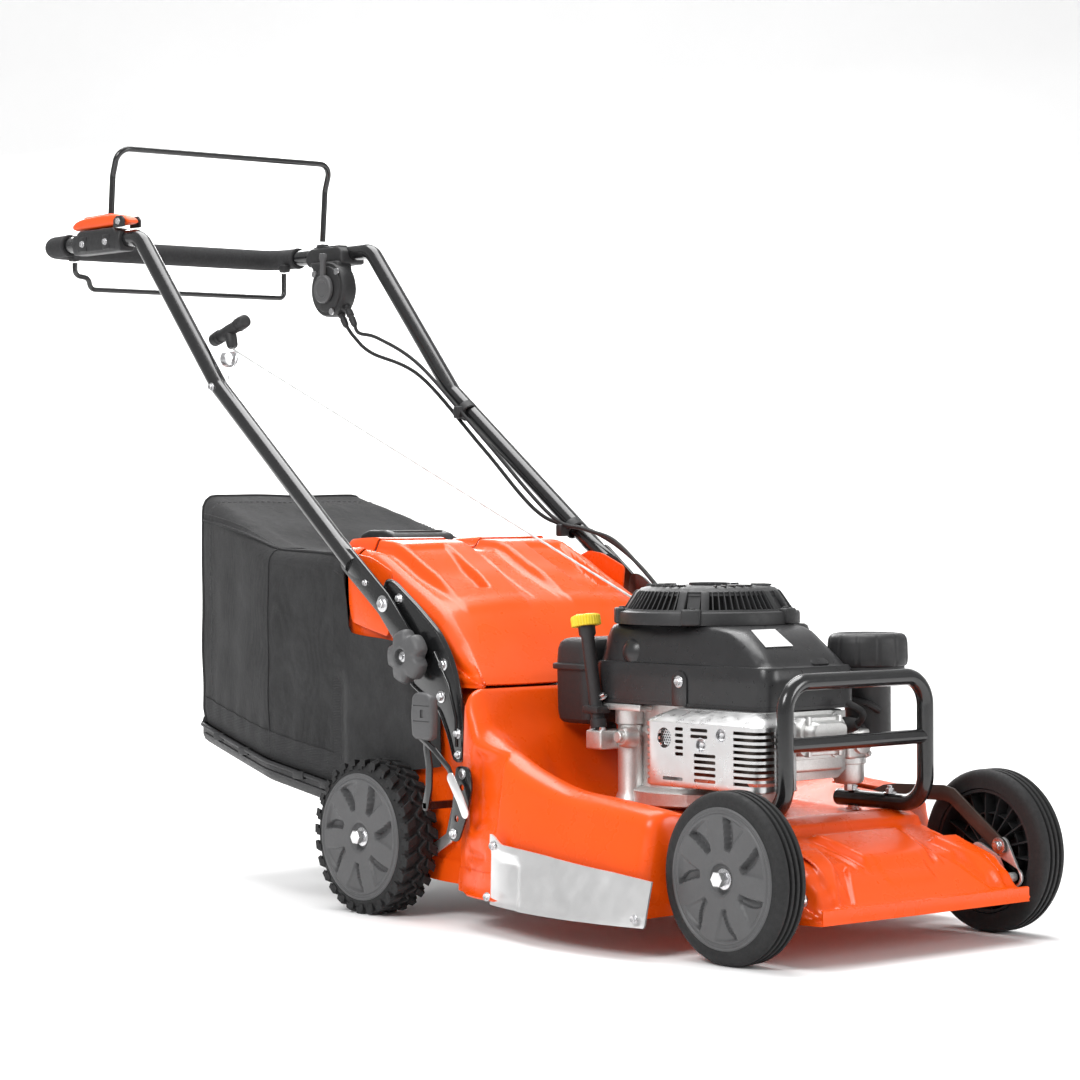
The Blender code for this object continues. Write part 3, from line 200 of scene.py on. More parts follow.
def make_finishes():
    """All finishes of the mower by name."""
    made = {}
    orange = (0.82, 0.082, 0.003)
    made["orange_paint"] = Finish("orange_paint", orange, 0.05, 5.0, (0.24, 0.34), Coat_Weight=0.15,
                                  Coat_Roughness=0.15, Specular_IOR_Level=0.3).grain(520, 0.00006).grain(40,
            0.00015)
    made["orange_plastic"] = Finish("orange_plastic", orange, 0.07, 30.0, (0.38, 0.5)).grain(1500, 0.00006)
    made["black_paint"] = Finish("black_paint", (0.017, 0.0172, 0.018), 0.25, 25.0, (0.28, 0.42)).grain(900,
            0.00005)
    made["gloss_paint"] = Finish("gloss_paint", (0.01, 0.0102, 0.0108), 0.2, 22.0, (0.16, 0.26),
                                 Coat_Weight=0.4, Coat_Roughness=0.12).grain(700, 0.00004)
    made["black_plastic"] = Finish("black_plastic", (0.022, 0.022, 0.023), 0.22, 30.0, (0.42, 0.58),
                                   spots=900.0, Specular_IOR_Level=0.4).grain(1700, 0.0001)
    made["gloss_plastic"] = Finish("gloss_plastic", (0.018, 0.018, 0.019), 0.2, 22.0,
                                   (0.26, 0.38)).grain(1400, 0.00005).grain(30, 0.0002)
    made["grey_plastic"] = Finish("grey_plastic", (0.075, 0.075, 0.077), 0.12, 40.0, (0.42, 0.56),
                                  spots=1100.0).grain(1600, 0.00008)
    made["rubber"] = Finish("rubber", (0.016, 0.016, 0.0165), 0.25, 35.0, (0.6, 0.8), spots=600.0,
                            Specular_IOR_Level=0.35).grain(1200, 0.00012)
    made["foam"] = Finish("foam", (0.02, 0.02, 0.021), 0.3, 60.0, (0.8, 0.95), spots=1500.0).grain(1500,
            0.0003)
    made["fabric"] = Finish("fabric", (0.026, 0.026, 0.0268), 0.45, 9.0, (0.85, 0.98), spots=750.0,
                            Sheen_Weight=0.08, Sheen_Roughness=0.5, Specular_IOR_Level=0.25)
    fabric = made["fabric"]
    fabric.bump(weave_relief(fabric, 0.0012), 0.0004).grain(55, 0.0012)
    made["webbing"] = Finish("webbing", (0.018, 0.018, 0.019), 0.3, 80.0, (0.7, 0.85), spots=900.0)
    made["webbing"].bump(weave_relief(made["webbing"], 0.0022), 0.0005)
    made["cast_aluminium"] = Finish("cast_aluminium", (0.62, 0.62, 0.61), 0.12, 35.0, (0.34, 0.52), 0.9,
                                    spots=420.0).grain(650, 0.00022, 3.0)
    made["sheet_metal"] = Finish("sheet_metal", (0.66, 0.66, 0.66), 0.07, 12.0, (0.24, 0.38),
                                 0.95).grain(900, 0.00004, 2.0, (1.0, 0.05, 1.0))
    made["satin_metal"] = Finish("satin_metal", (0.78, 0.78, 0.78), 0.06, 9.0, (0.3, 0.42), 0.85).grain(1100,
            0.00005).grain(25, 0.0002)
    made["zinc"] = Finish("zinc", (0.62, 0.62, 0.63), 0.1, 150.0, (0.22, 0.36), 1.0).grain(2200, 0.00003)
    made["dark_steel"] = Finish("dark_steel", (0.115, 0.098, 0.088), 0.18, 35.0, (0.38, 0.55), 0.75,
                                spots=300.0).grain(900, 0.00008)
    made["brown_steel"] = Finish("brown_steel", (0.085, 0.066, 0.056), 0.16, 30.0, (0.34, 0.48),
                                 0.55).grain(900, 0.00006).grain(30, 0.0002)
    made["thread"] = Finish("thread", (0.075, 0.075, 0.077), 0.2, 90.0, (0.7, 0.85)).grain(1800, 0.0001)
    made["yellow_plastic"] = Finish("yellow_plastic", (0.78, 0.6, 0.03), 0.1, 60.0, (0.4, 0.55)).grain(1500,
            0.00008)
    made["label"] = Finish("label", (0.8, 0.8, 0.8), 0.04, 40.0, (0.3, 0.4)).grain(1200, 0.00003)
    made["rope"] = Finish("rope", (0.62, 0.62, 0.61), 0.25, 200.0, (0.7, 0.85), spots=1500.0)
    made["rope"].bump(made["rope"].noise(1400.0, 1.0, 0.5, (1.0, 0.45, 0.45)), 0.0004)
    return {key: value.material for key, value in made.items()}


FINISH = make_finishes()


# ---------------------------------------------------------------- mesh helpers
def skin(sections, closed=True, caps=True):
    """Join sections of equal length, one after another."""
    mesh = bmesh.new()
    rows = [[mesh.verts.new(point) for point in section] for section in sections]
    count = len(rows[0])
    for row, following in zip(rows, rows[1:]):
        for i in range(count if closed else count - 1):
            j = (i + 1) % count
            mesh.faces.new((row[i], row[j], following[j], following[i]))
    if caps and closed:
        mesh.faces.new(rows[0])
        mesh.faces.new(rows[-1])
    return mesh


def shell(sections, inner, loop=False):
    """A closed sheet: an outer and an inner grid of the same size, joined along the rim."""
    mesh = bmesh.new()
    outer_rows = [[mesh.verts.new(p) for p in row] for row in sections]
    inner_rows = [[mesh.verts.new(p) for p in row] for row in inner]
    rows, count = len(outer_rows), len(outer_rows[0])
    columns = count if loop else count - 1
    for grid in (outer_rows, inner_rows):
        for r in range(rows - 1):
            for c in range(columns):
                d = (c + 1) % count
                mesh.faces.new((grid[r][c], grid[r][d], grid[r + 1][d], grid[r + 1][c]))
    for r in (0, rows - 1):
        for c in range(columns):
            d = (c + 1) % count
            mesh.faces.new((outer_rows[r][c], outer_rows[r][d], inner_rows[r][d], inner_rows[r][c]))
    if not loop:
        for r in range(rows - 1):
            for c in (0, count - 1):
                mesh.faces.new((outer_rows[r][c], outer_rows[r + 1][c], inner_rows[r + 1][c],
                                inner_rows[r][c]))
    return mesh


def merged(*parts):
    """One bmesh that holds all the given ones."""
    whole = bmesh.new()
    for part in parts:
        carrier = bpy.data.meshes.new("carrier")
        bmesh.ops.recalc_face_normals(part, faces=part.faces)
        part.to_mesh(carrier)
        part.free()
        whole.from_mesh(carrier)
        bpy.data.meshes.remove(carrier)
    return whole


def soft(mesh, width, segments=2, angle=28):
    """Round every edge that is sharper than the angle, in degrees."""
    bmesh.ops.recalc_face_normals(mesh, faces=mesh.faces)
    sharp = [e for e in mesh.edges
             if len(e.link_faces) == 2 and e.calc_face_angle(0.0) > math.radians(angle)]
    bmesh.ops.bevel(mesh, geom=sharp, offset=width, offset_type="OFFSET", segments=segments, profile=0.5,
                    affect="EDGES", clamp_overlap=True)
    return mesh


def turn(mesh, degrees, axis, centre=(0, 0, 0)):
    """Turn a mesh about an axis through a centre."""
    bmesh.ops.rotate(mesh, verts=mesh.verts, cent=Vector(centre),
                     matrix=Matrix.Rotation(math.radians(degrees), 3, axis))
    return mesh


def shift(mesh, offset):
    """Move a mesh by an offset."""
    bmesh.ops.translate(mesh, verts=mesh.verts, vec=Vector(offset))
    return mesh


def swap_xy(mesh):
    """Swap x and y of a mesh that was drawn in the other plane."""
    for vertex in mesh.verts:
        vertex.co = Vector((vertex.co.y, vertex.co.x, vertex.co.z))


def box(low, high, round_by=0.0, segments=2):
    """A block between two corners, with rounded edges if asked for."""
    (x0, y0, z0), (x1, y1, z1) = low, high
    corners = [(x0, y0), (x1, y0), (x1, y1), (x0, y1)]
    mesh = skin([[(x, y, z) for x, y in corners] for z in (z0, z1)])
    return soft(mesh, round_by, segments) if round_by else mesh


def slab(outline, low, high, plane="yz", round_by=0.0, segments=2, taper=1.0):
    """A flat outline drawn out along the third axis; taper scales the far face about its middle."""
    mid = [sum(p[i] for p in outline) / len(outline) for i in (0, 1)]
    far = [(mid[0] + (a - mid[0]) * taper, mid[1] + (b - mid[1]) * taper) for a, b in outline]
    place = {"yz": lambda a, b, c: (c, a, b), "xz": lambda a, b, c: (a, c, b),
             "xy": lambda a, b, c: (a, b, c)}[plane]
    mesh = skin([[place(a, b, low) for a, b in outline], [place(a, b, high) for a, b in far]])
    return soft(mesh, round_by, segments) if round_by else mesh


def square_to(axis):
    """Two unit vectors square to an axis and to each other."""
    axis = Vector(axis).normalized()
    helper = Vector((0, 0, 1)) if abs(axis.z) < 0.9 else Vector((1, 0, 0))
    first = axis.cross(helper).normalized()
    return first, axis.cross(first).normalized()


def lathe(profile, centre, axis=(0, 0, 1), sides=40, closed=True, phase=0.0, wobble=None):
    """Turn an outline of (radius, distance along the axis); wobble(angle, index) may scale the radius."""
    centre, axis = Vector(centre), Vector(axis).normalized()
    first, second = square_to(axis)
    mesh = bmesh.new()
    rings = []
    for index, (radius, along) in enumerate(profile):
        base = centre + axis * along
        if radius == 0.0:
            rings.append([mesh.verts.new(base)] * sides)
            continue
        ring = []
        for i in range(sides):
            t = 2 * math.pi * (i + phase) / sides
            reach = radius * (wobble(t, index) if wobble else 1.0)
            ring.append(mesh.verts.new(base + reach * (math.cos(t) * first + math.sin(t) * second)))
        rings.append(ring)
    pairs = list(zip(rings, rings[1:] + rings[:1])) if closed else list(zip(rings, rings[1:]))
    for ring, following in pairs:
        for i in range(sides):
            j = (i + 1) % sides
            corners = list(dict.fromkeys((ring[i], ring[j], following[j], following[i])))
            if len(corners) > 2:
                mesh.faces.new(corners)
    return mesh


def turned(profile, *place, **more):
    """A solid whose outline is closed by flat ends on the axis."""
    return lathe([(0.0, profile[0][1]), *profile, (0.0, profile[-1][1])], *place, closed=False, **more)


def rod(start, end, radius, sides=20, round_by=0.0):
    """A round bar between two points."""
    start, end = Vector(start), Vector(end)
    length = (end - start).length
    r = round_by
    profile = [(0.0, 0.0), (radius, 0.0), (radius, length), (0.0, length)]
    if r:
        profile = [(0.0, 0.0), (radius - r, 0.0), (radius - 0.3 * r, 0.3 * r), (radius, r),
                   (radius, length - r), (radius - 0.3 * r, length - 0.3 * r), (radius - r, length),
                   (0.0, length)]
    return lathe(profile, start, end - start, sides, closed=False)


def spline(points, steps=6):
    """A smooth curve through every given point."""
    points = [Vector(p) for p in points]
    padded = [2 * points[0] - points[1]] + points + [2 * points[-1] - points[-2]]
    route = []
    for before, start, end, after in zip(padded, padded[1:], padded[2:], padded[3:]):
        for i in range(steps):
            t = i / steps
            route.append(0.5 * (2 * start + (end - before) * t
                                + (2 * before - 5 * start + 4 * end - after) * t * t
                                + (3 * start - before - 3 * end + after) * t ** 3))
    route.append(points[-1])
    return route


def rounded_path(points, radius, steps=8):
    """Replace each inner corner of a path by an arc."""
    points = [Vector(point) for point in points]
    path = [points[0]]
    for before, corner, after in zip(points, points[1:], points[2:]):
        incoming, outgoing = (before - corner).normalized(), (after - corner).normalized()
        half_angle = incoming.angle(outgoing) / 2
        if half_angle > math.radians(88):
            path.append(corner)
            continue
        reach = min(radius / math.tan(half_angle),
                    0.49 * min((before - corner).length, (after - corner).length))
        bend = reach * math.tan(half_angle)
        centre = corner + (incoming + outgoing).normalized() * bend / math.sin(half_angle)
        start, end = corner + incoming * reach - centre, corner + outgoing * reach - centre
        angle = start.angle(end)
        for i in range(steps + 1):
            t = i / steps
            path.append(centre + (math.sin((1 - t) * angle) * start
                                  + math.sin(t * angle) * end) / math.sin(angle))
    path.append(points[-1])
    return path


def tube(path, radius, sides=20, squeeze=None):
    """A round tube along a path; squeeze(share of the length) may return (wide, thin) factors."""
    path = [Vector(p) for p in path]
    directions = [(path[min(i + 1, len(path) - 1)] - path[max(i - 1, 0)]).normalized()
                  for i in range(len(path))]
    first, _ = square_to(directions[0])
    rings = []
    for k, (point, direction) in enumerate(zip(path, directions)):
        first = (first - direction * first.dot(direction)).normalized()
        second = direction.cross(first)
        wide, thin = squeeze(k / (len(path) - 1)) if squeeze else (1.0, 1.0)
        turns = [2 * math.pi * (i + 0.5) / sides for i in range(sides)]
        rings.append([point + radius * (wide * math.cos(t) * first + thin * math.sin(t) * second)
                      for t in turns])
    return skin(rings)


def carve(target, *cutters):
    """Cut helper bodies out of a body with one exact Boolean."""
    items = []
    for mesh_data in (target, merged(*cutters)):
        bmesh.ops.recalc_face_normals(mesh_data, faces=mesh_data.faces)
        mesh = bpy.data.meshes.new("carve")
        mesh_data.to_mesh(mesh)
        mesh_data.free()
        item = bpy.data.objects.new("carve", mesh)
        bpy.context.scene.collection.objects.link(item)
        items.append(item)
    modifier = items[0].modifiers.new("carve", "BOOLEAN")
    modifier.operation, modifier.solver, modifier.object = "DIFFERENCE", "EXACT", items[1]
    modifier.use_self = True
    evaluated = items[0].evaluated_get(bpy.context.evaluated_depsgraph_get())
    mesh = bpy.data.meshes.new_from_object(evaluated)
    result = bmesh.new()
    result.from_mesh(mesh)
    for item in items:
        bpy.data.objects.remove(item)
    return result


def hex_bolt(seat, axis, radius=0.0055, height=0.004, washer=1.35, shank=0.0):
    """Washer, chamfered hexagon head and, if asked for, the threaded end that sticks out of a nut."""
    seat, axis = Vector(seat), Vector(axis).normalized()
    thin = 0.0012
    parts = [turned([(radius * washer, 0.0), (radius * washer, thin * 0.8), (radius * washer * 0.95, thin)],
                    seat, axis, 24)]
    top = thin + height
    parts.append(turned([(radius, thin), (radius, top - 0.0006), (radius * 0.86, top),
                         (radius * 0.6, top - 0.0002)], seat, axis, 6))
    if shank:
        turns = max(3, int(shank / 0.001))
        profile = [(0.0, top - 0.001)]
        for i in range(turns):
            z = top - 0.001 + shank * i / turns
            profile += [(radius * 0.5, z), (radius * 0.56, z + shank / turns / 2)]
        profile += [(radius * 0.42, top - 0.001 + shank), (0.0, top - 0.001 + shank)]
        parts.append(lathe(profile, seat, axis, 16, closed=False))
    return merged(*parts)


def piece(name, mesh_data, finish, body, stands_for=(), sharp=32, round_by=0.0, segments=2):
    """A finished piece of the mower: mesh, finish, body that it rides on, and the CAD nodes it stands for."""
    bmesh.ops.recalc_face_normals(mesh_data, faces=mesh_data.faces)
    mesh = bpy.data.meshes.new(name)
    mesh_data.to_mesh(mesh)
    mesh_data.free()
    mesh.materials.append(FINISH[finish])
    mesh.shade_smooth()
    mesh.set_sharp_from_angle(angle=math.radians(sharp))
    item = bpy.data.objects.new(name, mesh)
    bpy.context.scene.collection.objects.link(item)
    if round_by:
        bevel = item.modifiers.new("round", "BEVEL")
        bevel.width, bevel.segments, bevel.limit_method = round_by, segments, "ANGLE"
        bevel.angle_limit = math.radians(30)
    if body:
        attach(item, body)
    if stands_for:
        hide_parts(*stands_for)
    return item


def smooth_step(value, low, high):
    """A soft ramp from 0 at low to 1 at high."""
    t = min(1.0, max(0.0, (value - low) / (high - low)))
    return t * t * (3 - 2 * t)


def window(value, low, high, edge):
    """1 between low and high, with soft edges."""
    return smooth_step(value, low, low + edge) * (1 - smooth_step(value, high - edge, high))


def along_table(rows, y):
    """The values of a table, read at y with smooth cubic blending between its rows."""
    if y <= rows[0][0]:
        return rows[0][1:]
    for i in range(len(rows) - 1):
        if y <= rows[i + 1][0]:
            break
    else:
        return rows[-1][1:]
    a, b = rows[i], rows[i + 1]
    before, after = rows[max(i - 1, 0)], rows[min(i + 2, len(rows) - 1)]
    span = b[0] - a[0]
    t = (y - a[0]) / span
    values = []
    for k in range(1, len(a)):
        step = b[k] - a[k]
        slope_a = (b[k] - before[k]) / (b[0] - before[0]) * span if i > 0 else step
        slope_b = (after[k] - a[k]) / (after[0] - a[0]) * span if i + 2 < len(rows) else step
        limit = 3 * abs(step)
        slope_a = max(-limit, min(limit, slope_a)) if slope_a * step > 0 else 0.0
        slope_b = max(-limit, min(limit, slope_b)) if slope_b * step > 0 else 0.0
        values.append((2 * t ** 3 - 3 * t * t + 1) * a[k] + (t ** 3 - 2 * t * t + t) * slope_a
                      + (-2 * t ** 3 + 3 * t * t) * b[k] + (t ** 3 - t * t) * slope_b)
    return values


def resampled(points, count):
    """The same number of evenly spaced points on any polyline."""
    lengths = [0.0]
    for a, b in zip(points, points[1:]):
        lengths.append(lengths[-1] + (b - a).length)
    result, k = [], 0
    for i in range(count):
        want = lengths[-1] * i / (count - 1)
        while k < len(points) - 2 and lengths[k + 1] < want:
            k += 1
        share = (want - lengths[k]) / max(lengths[k + 1] - lengths[k], 1e-9)
        result.append(points[k].lerp(points[k + 1], min(1.0, share)))
    return result


def thickened(rows, wall):
    """The grid moved inwards by a wall thickness, against its own normals."""
    count_r, count_c = len(rows), len(rows[0])
    inner = []
    for r in range(count_r):
        row = []
        for c in range(count_c):
            along = rows[min(r + 1, count_r - 1)][c] - rows[max(r - 1, 0)][c]
            across = rows[r][min(c + 1, count_c - 1)] - rows[r][max(c - 1, 0)]
            normal = across.cross(along)
            if normal.length < 1e-12:
                normal = Vector((0, 0, 1))
            normal.normalize()
            row.append(rows[r][c] - normal * wall)
        inner.append(row)
    return inner


# ---------------------------------------------------------------- deck, covers and skirts
# y, lower edge z, half width at the lower edge, half width at the shoulder, shoulder z, middle z
DECK_TABLE = [(-0.812, 0.05, 0.177, 0.174, 0.064, 0.066), (-0.806, 0.05, 0.179, 0.174, 0.068, 0.07),
              (-0.798, 0.05, 0.181, 0.173, 0.074, 0.077), (-0.77, 0.05, 0.183, 0.171, 0.096, 0.101),
              (-0.74, 0.05, 0.184, 0.168, 0.109, 0.115), (-0.7, 0.05, 0.184, 0.165, 0.122, 0.128),
              (-0.672, 0.05, 0.184, 0.165, 0.13, 0.136), (-0.64, 0.05, 0.184, 0.165, 0.14, 0.145),
              (-0.606, 0.048, 0.186, 0.165, 0.146, 0.147), (-0.592, 0.045, 0.252, 0.232, 0.166, 0.147),
              (-0.572, 0.045, 0.262, 0.242, 0.172, 0.147), (-0.5, 0.045, 0.266, 0.243, 0.179, 0.151),
              (-0.426, 0.045, 0.266, 0.242, 0.186, 0.155), (-0.35, 0.045, 0.264, 0.242, 0.208, 0.155),
              (-0.317, 0.045, 0.261, 0.241, 0.222, 0.1555), (-0.29, 0.045, 0.257, 0.24, 0.232, 0.175),
              (-0.262, 0.045, 0.249, 0.238, 0.25, 0.232), (-0.247, 0.045, 0.245, 0.234, 0.272, 0.258),
              (-0.228, 0.045, 0.239, 0.228, 0.2997, 0.2997), (-0.22, 0.045, 0.234, 0.222, 0.2997, 0.2997),
              (-0.212, 0.045, 0.201, 0.2, 0.2997, 0.2997), (-0.092, 0.052, 0.2, 0.199, 0.2997, 0.2997),
              (-0.072, 0.136, 0.2, 0.199, 0.2997, 0.2997), (0.06, 0.14, 0.2, 0.199, 0.2997, 0.2997)]


DECK_SPACING = [  # from y, to y, distance between cross-sections
    (-0.812, -0.655, 0.0024), (-0.655, -0.609, 0.0046), (-0.609, -0.588, 0.0012), (-0.588, -0.33, 0.0055),
    (-0.33, -0.226, 0.0026), (-0.226, -0.208, 0.001), (-0.208, -0.095, 0.0115), (-0.095, -0.07, 0.003),
    (-0.07, 0.0601, 0.013)]


def deck_outline(y):
    """Right half of the deck's cross-section at y, from the rolled lip to the middle."""
    low, half_low, half_high, high, middle = along_table(DECK_TABLE, y)
    rise = high - low
    bend = min(0.026, 0.4 * rise)
    lip = 0.008 * window(y, -0.625, -0.235, 0.03) + 0.001
    fold = min(0.03, 0.3 * rise)
    pad = min(0.128, half_high - 0.03)
    points = [(half_low + lip, low), (half_low + 0.4 * lip, low + 0.003), (half_low + 0.001, low + 0.008),
              (half_low - 0.001, low + fold), (half_low - 0.003, low + fold + 0.004),
              (half_low * 0.45 + half_high * 0.55, low + 0.55 * rise),
              (half_high + 0.002, high - 1.2 * bend), (half_high - 0.04 * bend, high - 0.65 * bend),
              (half_high - 0.28 * bend, high - 0.28 * bend), (half_high - 0.65 * bend, high - 0.05 * bend),
              (half_high - 1.1 * bend, high + 0.0005), (half_high - 1.5 * bend, high * 0.93 + middle * 0.07),
              (pad + 0.012, high * 0.2 + middle * 0.8), (pad - 0.006, middle), (pad - 0.03, middle),
              (0.5 * pad, middle), (0.25 * pad, middle), (0.0, middle)]
    fine = spline([(-x, y, z) for x, z in points], 5)
    for p in fine:
        p.y = y
    return resampled(fine, 92)


def deck_relief(p):
    """Pressed shapes in the deck: nose plateau, corner flutes, side pocket and pad edges."""
    x, y, z = abs(p.x), p.y, p.z
    offset = Vector((0, 0, 0))
    if y < -0.6 and z > 0.062:
        plateau = (1 - smooth_step(x, 0.052 + 0.22 * (y + 0.76), 0.06 + 0.22 * (y + 0.76)))
        plateau *= smooth_step(y, -0.774, -0.756) * (1 - smooth_step(y, -0.7, -0.676))
        offset.z += 0.0105 * plateau
        facet = (1 - smooth_step(x, 0.036, 0.042)) * window(y, -0.792, -0.756, 0.008)
        offset.z += 0.0022 * facet
        flank = window(x, 0.098 + 0.3 * (-0.74 - y), 0.172, 0.009) * window(y, -0.802, -0.718, 0.012)
        offset.z += 0.0095 * flank
        corner = window(x, 0.14, 0.178, 0.01) * window(y, -0.812, -0.77, 0.01)
        offset.z -= 0.004 * corner
        middle = 0.104 + 0.75 * (-0.77 - y)
        flute = window(x, middle - 0.015, middle + 0.015, 0.008) * window(y, -0.808, -0.752, 0.008)
        offset.z -= 0.005 * flute
        ridge = window(x, 0.064 + 0.2 * (y + 0.76), 0.074 + 0.2 * (y + 0.76), 0.004)
        offset.z += 0.003 * ridge * window(y, -0.776, -0.69, 0.014)
        pad_edge = (1 - smooth_step(x, 0.142, 0.149)) * smooth_step(y, -0.671, -0.664)
        offset.z += 0.0095 * pad_edge * (1 - smooth_step(y, -0.64, -0.6))
    elif x > 0.225:
        arch = window(y, -0.318, -0.248, 0.014) * window(z, 0.118, 0.232, 0.02)
        offset.x += 0.01 * arch * (1 if p.x < 0 else -1)
        crease = window(z, 0.085, 0.1, 0.007) * window(y, -0.3, -0.232, 0.02)
        offset.x += 0.003 * crease * (1 if p.x < 0 else -1)
    return p + offset


def build_deck():
    """Orange pressed deck with its openings and the lower front flange."""
    ys = []
    for low, high, step in DECK_SPACING:
        steps = max(1, round((high - low) / step))
        ys += [low + (high - low) * i / steps for i in range(steps)]
    ys.append(0.06)
    rows = []
    for y in ys:
        right = deck_outline(y)
        left = [Vector((-p.x, p.y, p.z)) for p in reversed(right[:-1])]
        rows.append([deck_relief(p) for p in right + left])
    deck = shell(rows, thickened(rows, PANEL))
    window_box = box((-0.165, -0.185, 0.28), (0.165, 0.04, 0.32))
    crank_hole = rod((0, CRANK_Y, 0.12), (0, CRANK_Y, 0.18), 0.02, 32)
    slot_box = box((0.184, -0.6, 0.12), (0.196, -0.47, 0.22))
    holes = [rod(Vector((-0.24, p.y, p.z)), Vector((0.24, p.y, p.z)), 0.0075)
             for p in (FRONT_PIVOT, REAR_PIVOT)]
    deck = carve(deck, window_box, crank_hole, slot_box, *holes)
    flange = [(x, -0.8135 + 0.0012 * (x / 0.177) ** 2) for x in [-0.177 + 0.354 * k / 24 for k in range(25)]]
    front = [[Vector((x, y - 0.0008, z)) for x, y in flange] for z in (0.0502, 0.052, 0.064, 0.0672, 0.068)]
    front[0] = [p + Vector((0, -0.0008, 0)) for p in front[0]]
    front[-1] = [p + Vector((0, 0.0022, 0)) for p in front[-1]]
    deck = merged(deck, shell(front, [[p + Vector((0, 0.0024, 0)) for p in row] for row in front]))
    piece("deck", deck, "orange_paint", "chassis", ["deck_shell"], sharp=60)


COVER_TABLE = [(-0.225, 0.3, 0.198, 0.194, 0.304, 0.3045), (-0.215, 0.3, 0.2, 0.194, 0.314, 0.3165),
               (-0.18, 0.3, 0.202, 0.191, 0.344, 0.35), (-0.14, 0.3, 0.203, 0.187, 0.382, 0.391),
               (-0.122, 0.3, 0.203, 0.185, 0.397, 0.407), (-0.08, 0.3, 0.203, 0.183, 0.42, 0.426),
               (-0.04, 0.3, 0.203, 0.182, 0.44, 0.444), (0.017, 0.3, 0.203, 0.181, 0.469, 0.472),
               (0.06, 0.3, 0.203, 0.18, 0.476, 0.4755)]


def cover_outline(y):
    """Right half of the rear cover's cross-section at y."""
    low, half_low, half_high, high, middle = along_table(COVER_TABLE, y)
    rise = high - low
    bend = min(0.02, 0.35 * rise)
    points = [(half_low + 0.002, low), (half_low + 0.001, low + 0.004), (half_low, low + 0.1 * rise),
              (half_low * 0.75 + half_high * 0.25, low + 0.5 * rise),
              (half_low * 0.5 + half_high * 0.5, high - 1.7 * bend),
              (half_high + 0.25 * bend, high - 0.85 * bend), (half_high - 0.1 * bend, high - 0.35 * bend),
              (half_high - 0.45 * bend, high - 0.08 * bend), (half_high - 0.9 * bend, high + 0.001),
              (0.7 * half_high, high * 0.4 + middle * 0.6), (0.4 * half_high, middle),
              (0.2 * half_high, middle), (0.0, middle)]
    fine = spline([(-x, y, z) for x, z in points], 8)
    for p in fine:
        p.y = y
    return resampled(fine, 112)


def cover_relief(p):
    """Two raised bosses, each with a sloping pocket, the valley between them and a channel outside them."""
    x, y, z = abs(p.x), p.y, p.z
    side = -1 if p.x < 0 else 1
    offset = Vector((0, 0, 0))
    if z > 0.315 and y > -0.2 and x < 0.186:
        climb = smooth_step(y, -0.13, -0.055)
        inside = 0.026 + 0.05 * (0.02 - y)
        boss = smooth_step(x, inside - 0.005, inside + 0.008) * (1 - smooth_step(x, 0.143, 0.153))
        offset.z += 0.0125 * boss * climb
        crest = window(x, inside + 0.002, 0.15, 0.006) * window(y, -0.136, -0.106, 0.012)
        offset.z += 0.0016 * crest
        channel = window(x, 0.146, 0.17, 0.01) * smooth_step(y, -0.11, -0.03)
        offset.z -= 0.006 * channel
        pocket = window(x, 0.068 - 0.1 * y, 0.138, 0.0065) * window(y, -0.094, 0.014, 0.008)
        offset.z -= pocket * (0.005 + 0.01 * smooth_step(-y, -0.01, 0.05))
        groove = window(x, inside - 0.016, inside - 0.006, 0.004) * window(y, -0.125, 0.05, 0.02)
        offset.z -= 0.0018 * groove
    if z < 0.36:
        rib = window(z, 0.302, 0.318, 0.006)
        offset.x += side * 0.0022 * rib
    return p + offset


def build_cover():
    """Orange cover over the gearbox and the mouth of the bag."""
    ys = [-0.225 + 0.00285 * i for i in range(100)] + [0.06]
    rows = []
    for y in ys:
        right = cover_outline(y)
        left = [Vector((-p.x, p.y, p.z)) for p in reversed(right[:-1])]
        rows.append([cover_relief(p) for p in right + left])
    piece("rear_hood", shell(rows, thickened(rows, PANEL)), "orange_paint", "chassis", ["rear_cover"],
          sharp=60)


def build_skirts():
    """Pressed silver guards, curved in plan, with a sunk panel at the rear end."""
    arc_radius, arc_middle_y, widest = 0.56, -0.489, 0.2955
    front_y, rear_y, steps = -0.621, -0.322, 66
    for name, side in SIDES:
        rows = []
        for i in range(steps + 1):
            y = front_y + (rear_y - front_y) * i / steps
            low_x = widest - arc_radius + math.sqrt(arc_radius ** 2 - (y - arc_middle_y) ** 2)
            top_z = 0.092 + 0.024 * i / steps + 0.01 * smooth_step(y, -0.345, -0.325)
            high_x = max(low_x - 0.0245, 0.2675)
            row = []
            for k in range(25):
                t = k / 24
                x = low_x + (high_x - low_x) * t ** 1.15
                z = 0.0385 + (top_z - 0.0385) * t
                step = window(t, -0.2, 0.8, 0.1) * smooth_step(y, -0.402 + 0.02 * t, -0.396 + 0.02 * t)
                frame = window(t, 0.7, 0.88, 0.05) * smooth_step(y, -0.385, -0.375)
                x -= 0.003 * step + 0.0012 * frame
                x += 0.0016 * (1 - smooth_step(t, 0.0, 0.07))
                row.append(Vector((side * x, y, z)))
            rows.append(row)
        inner = [[Vector((p.x - side * 0.0022, p.y, p.z)) for p in row] for row in rows]
        piece("skirt_" + name, shell(rows, inner), "satin_metal", "chassis", ["side_skirt_" + name],
              sharp=50)
        bolts = [hex_bolt((side * x, y, z), (side, 0, 0.1), 0.0042, 0.003)
                 for x, y, z in ((0.2815, -0.333, 0.05), (0.2695, -0.33, 0.112), (0.2855, -0.61, 0.049))]
        piece("skirt_bolts_" + name, merged(*bolts), "zinc", "chassis")


build_deck()
build_cover()
build_skirts()


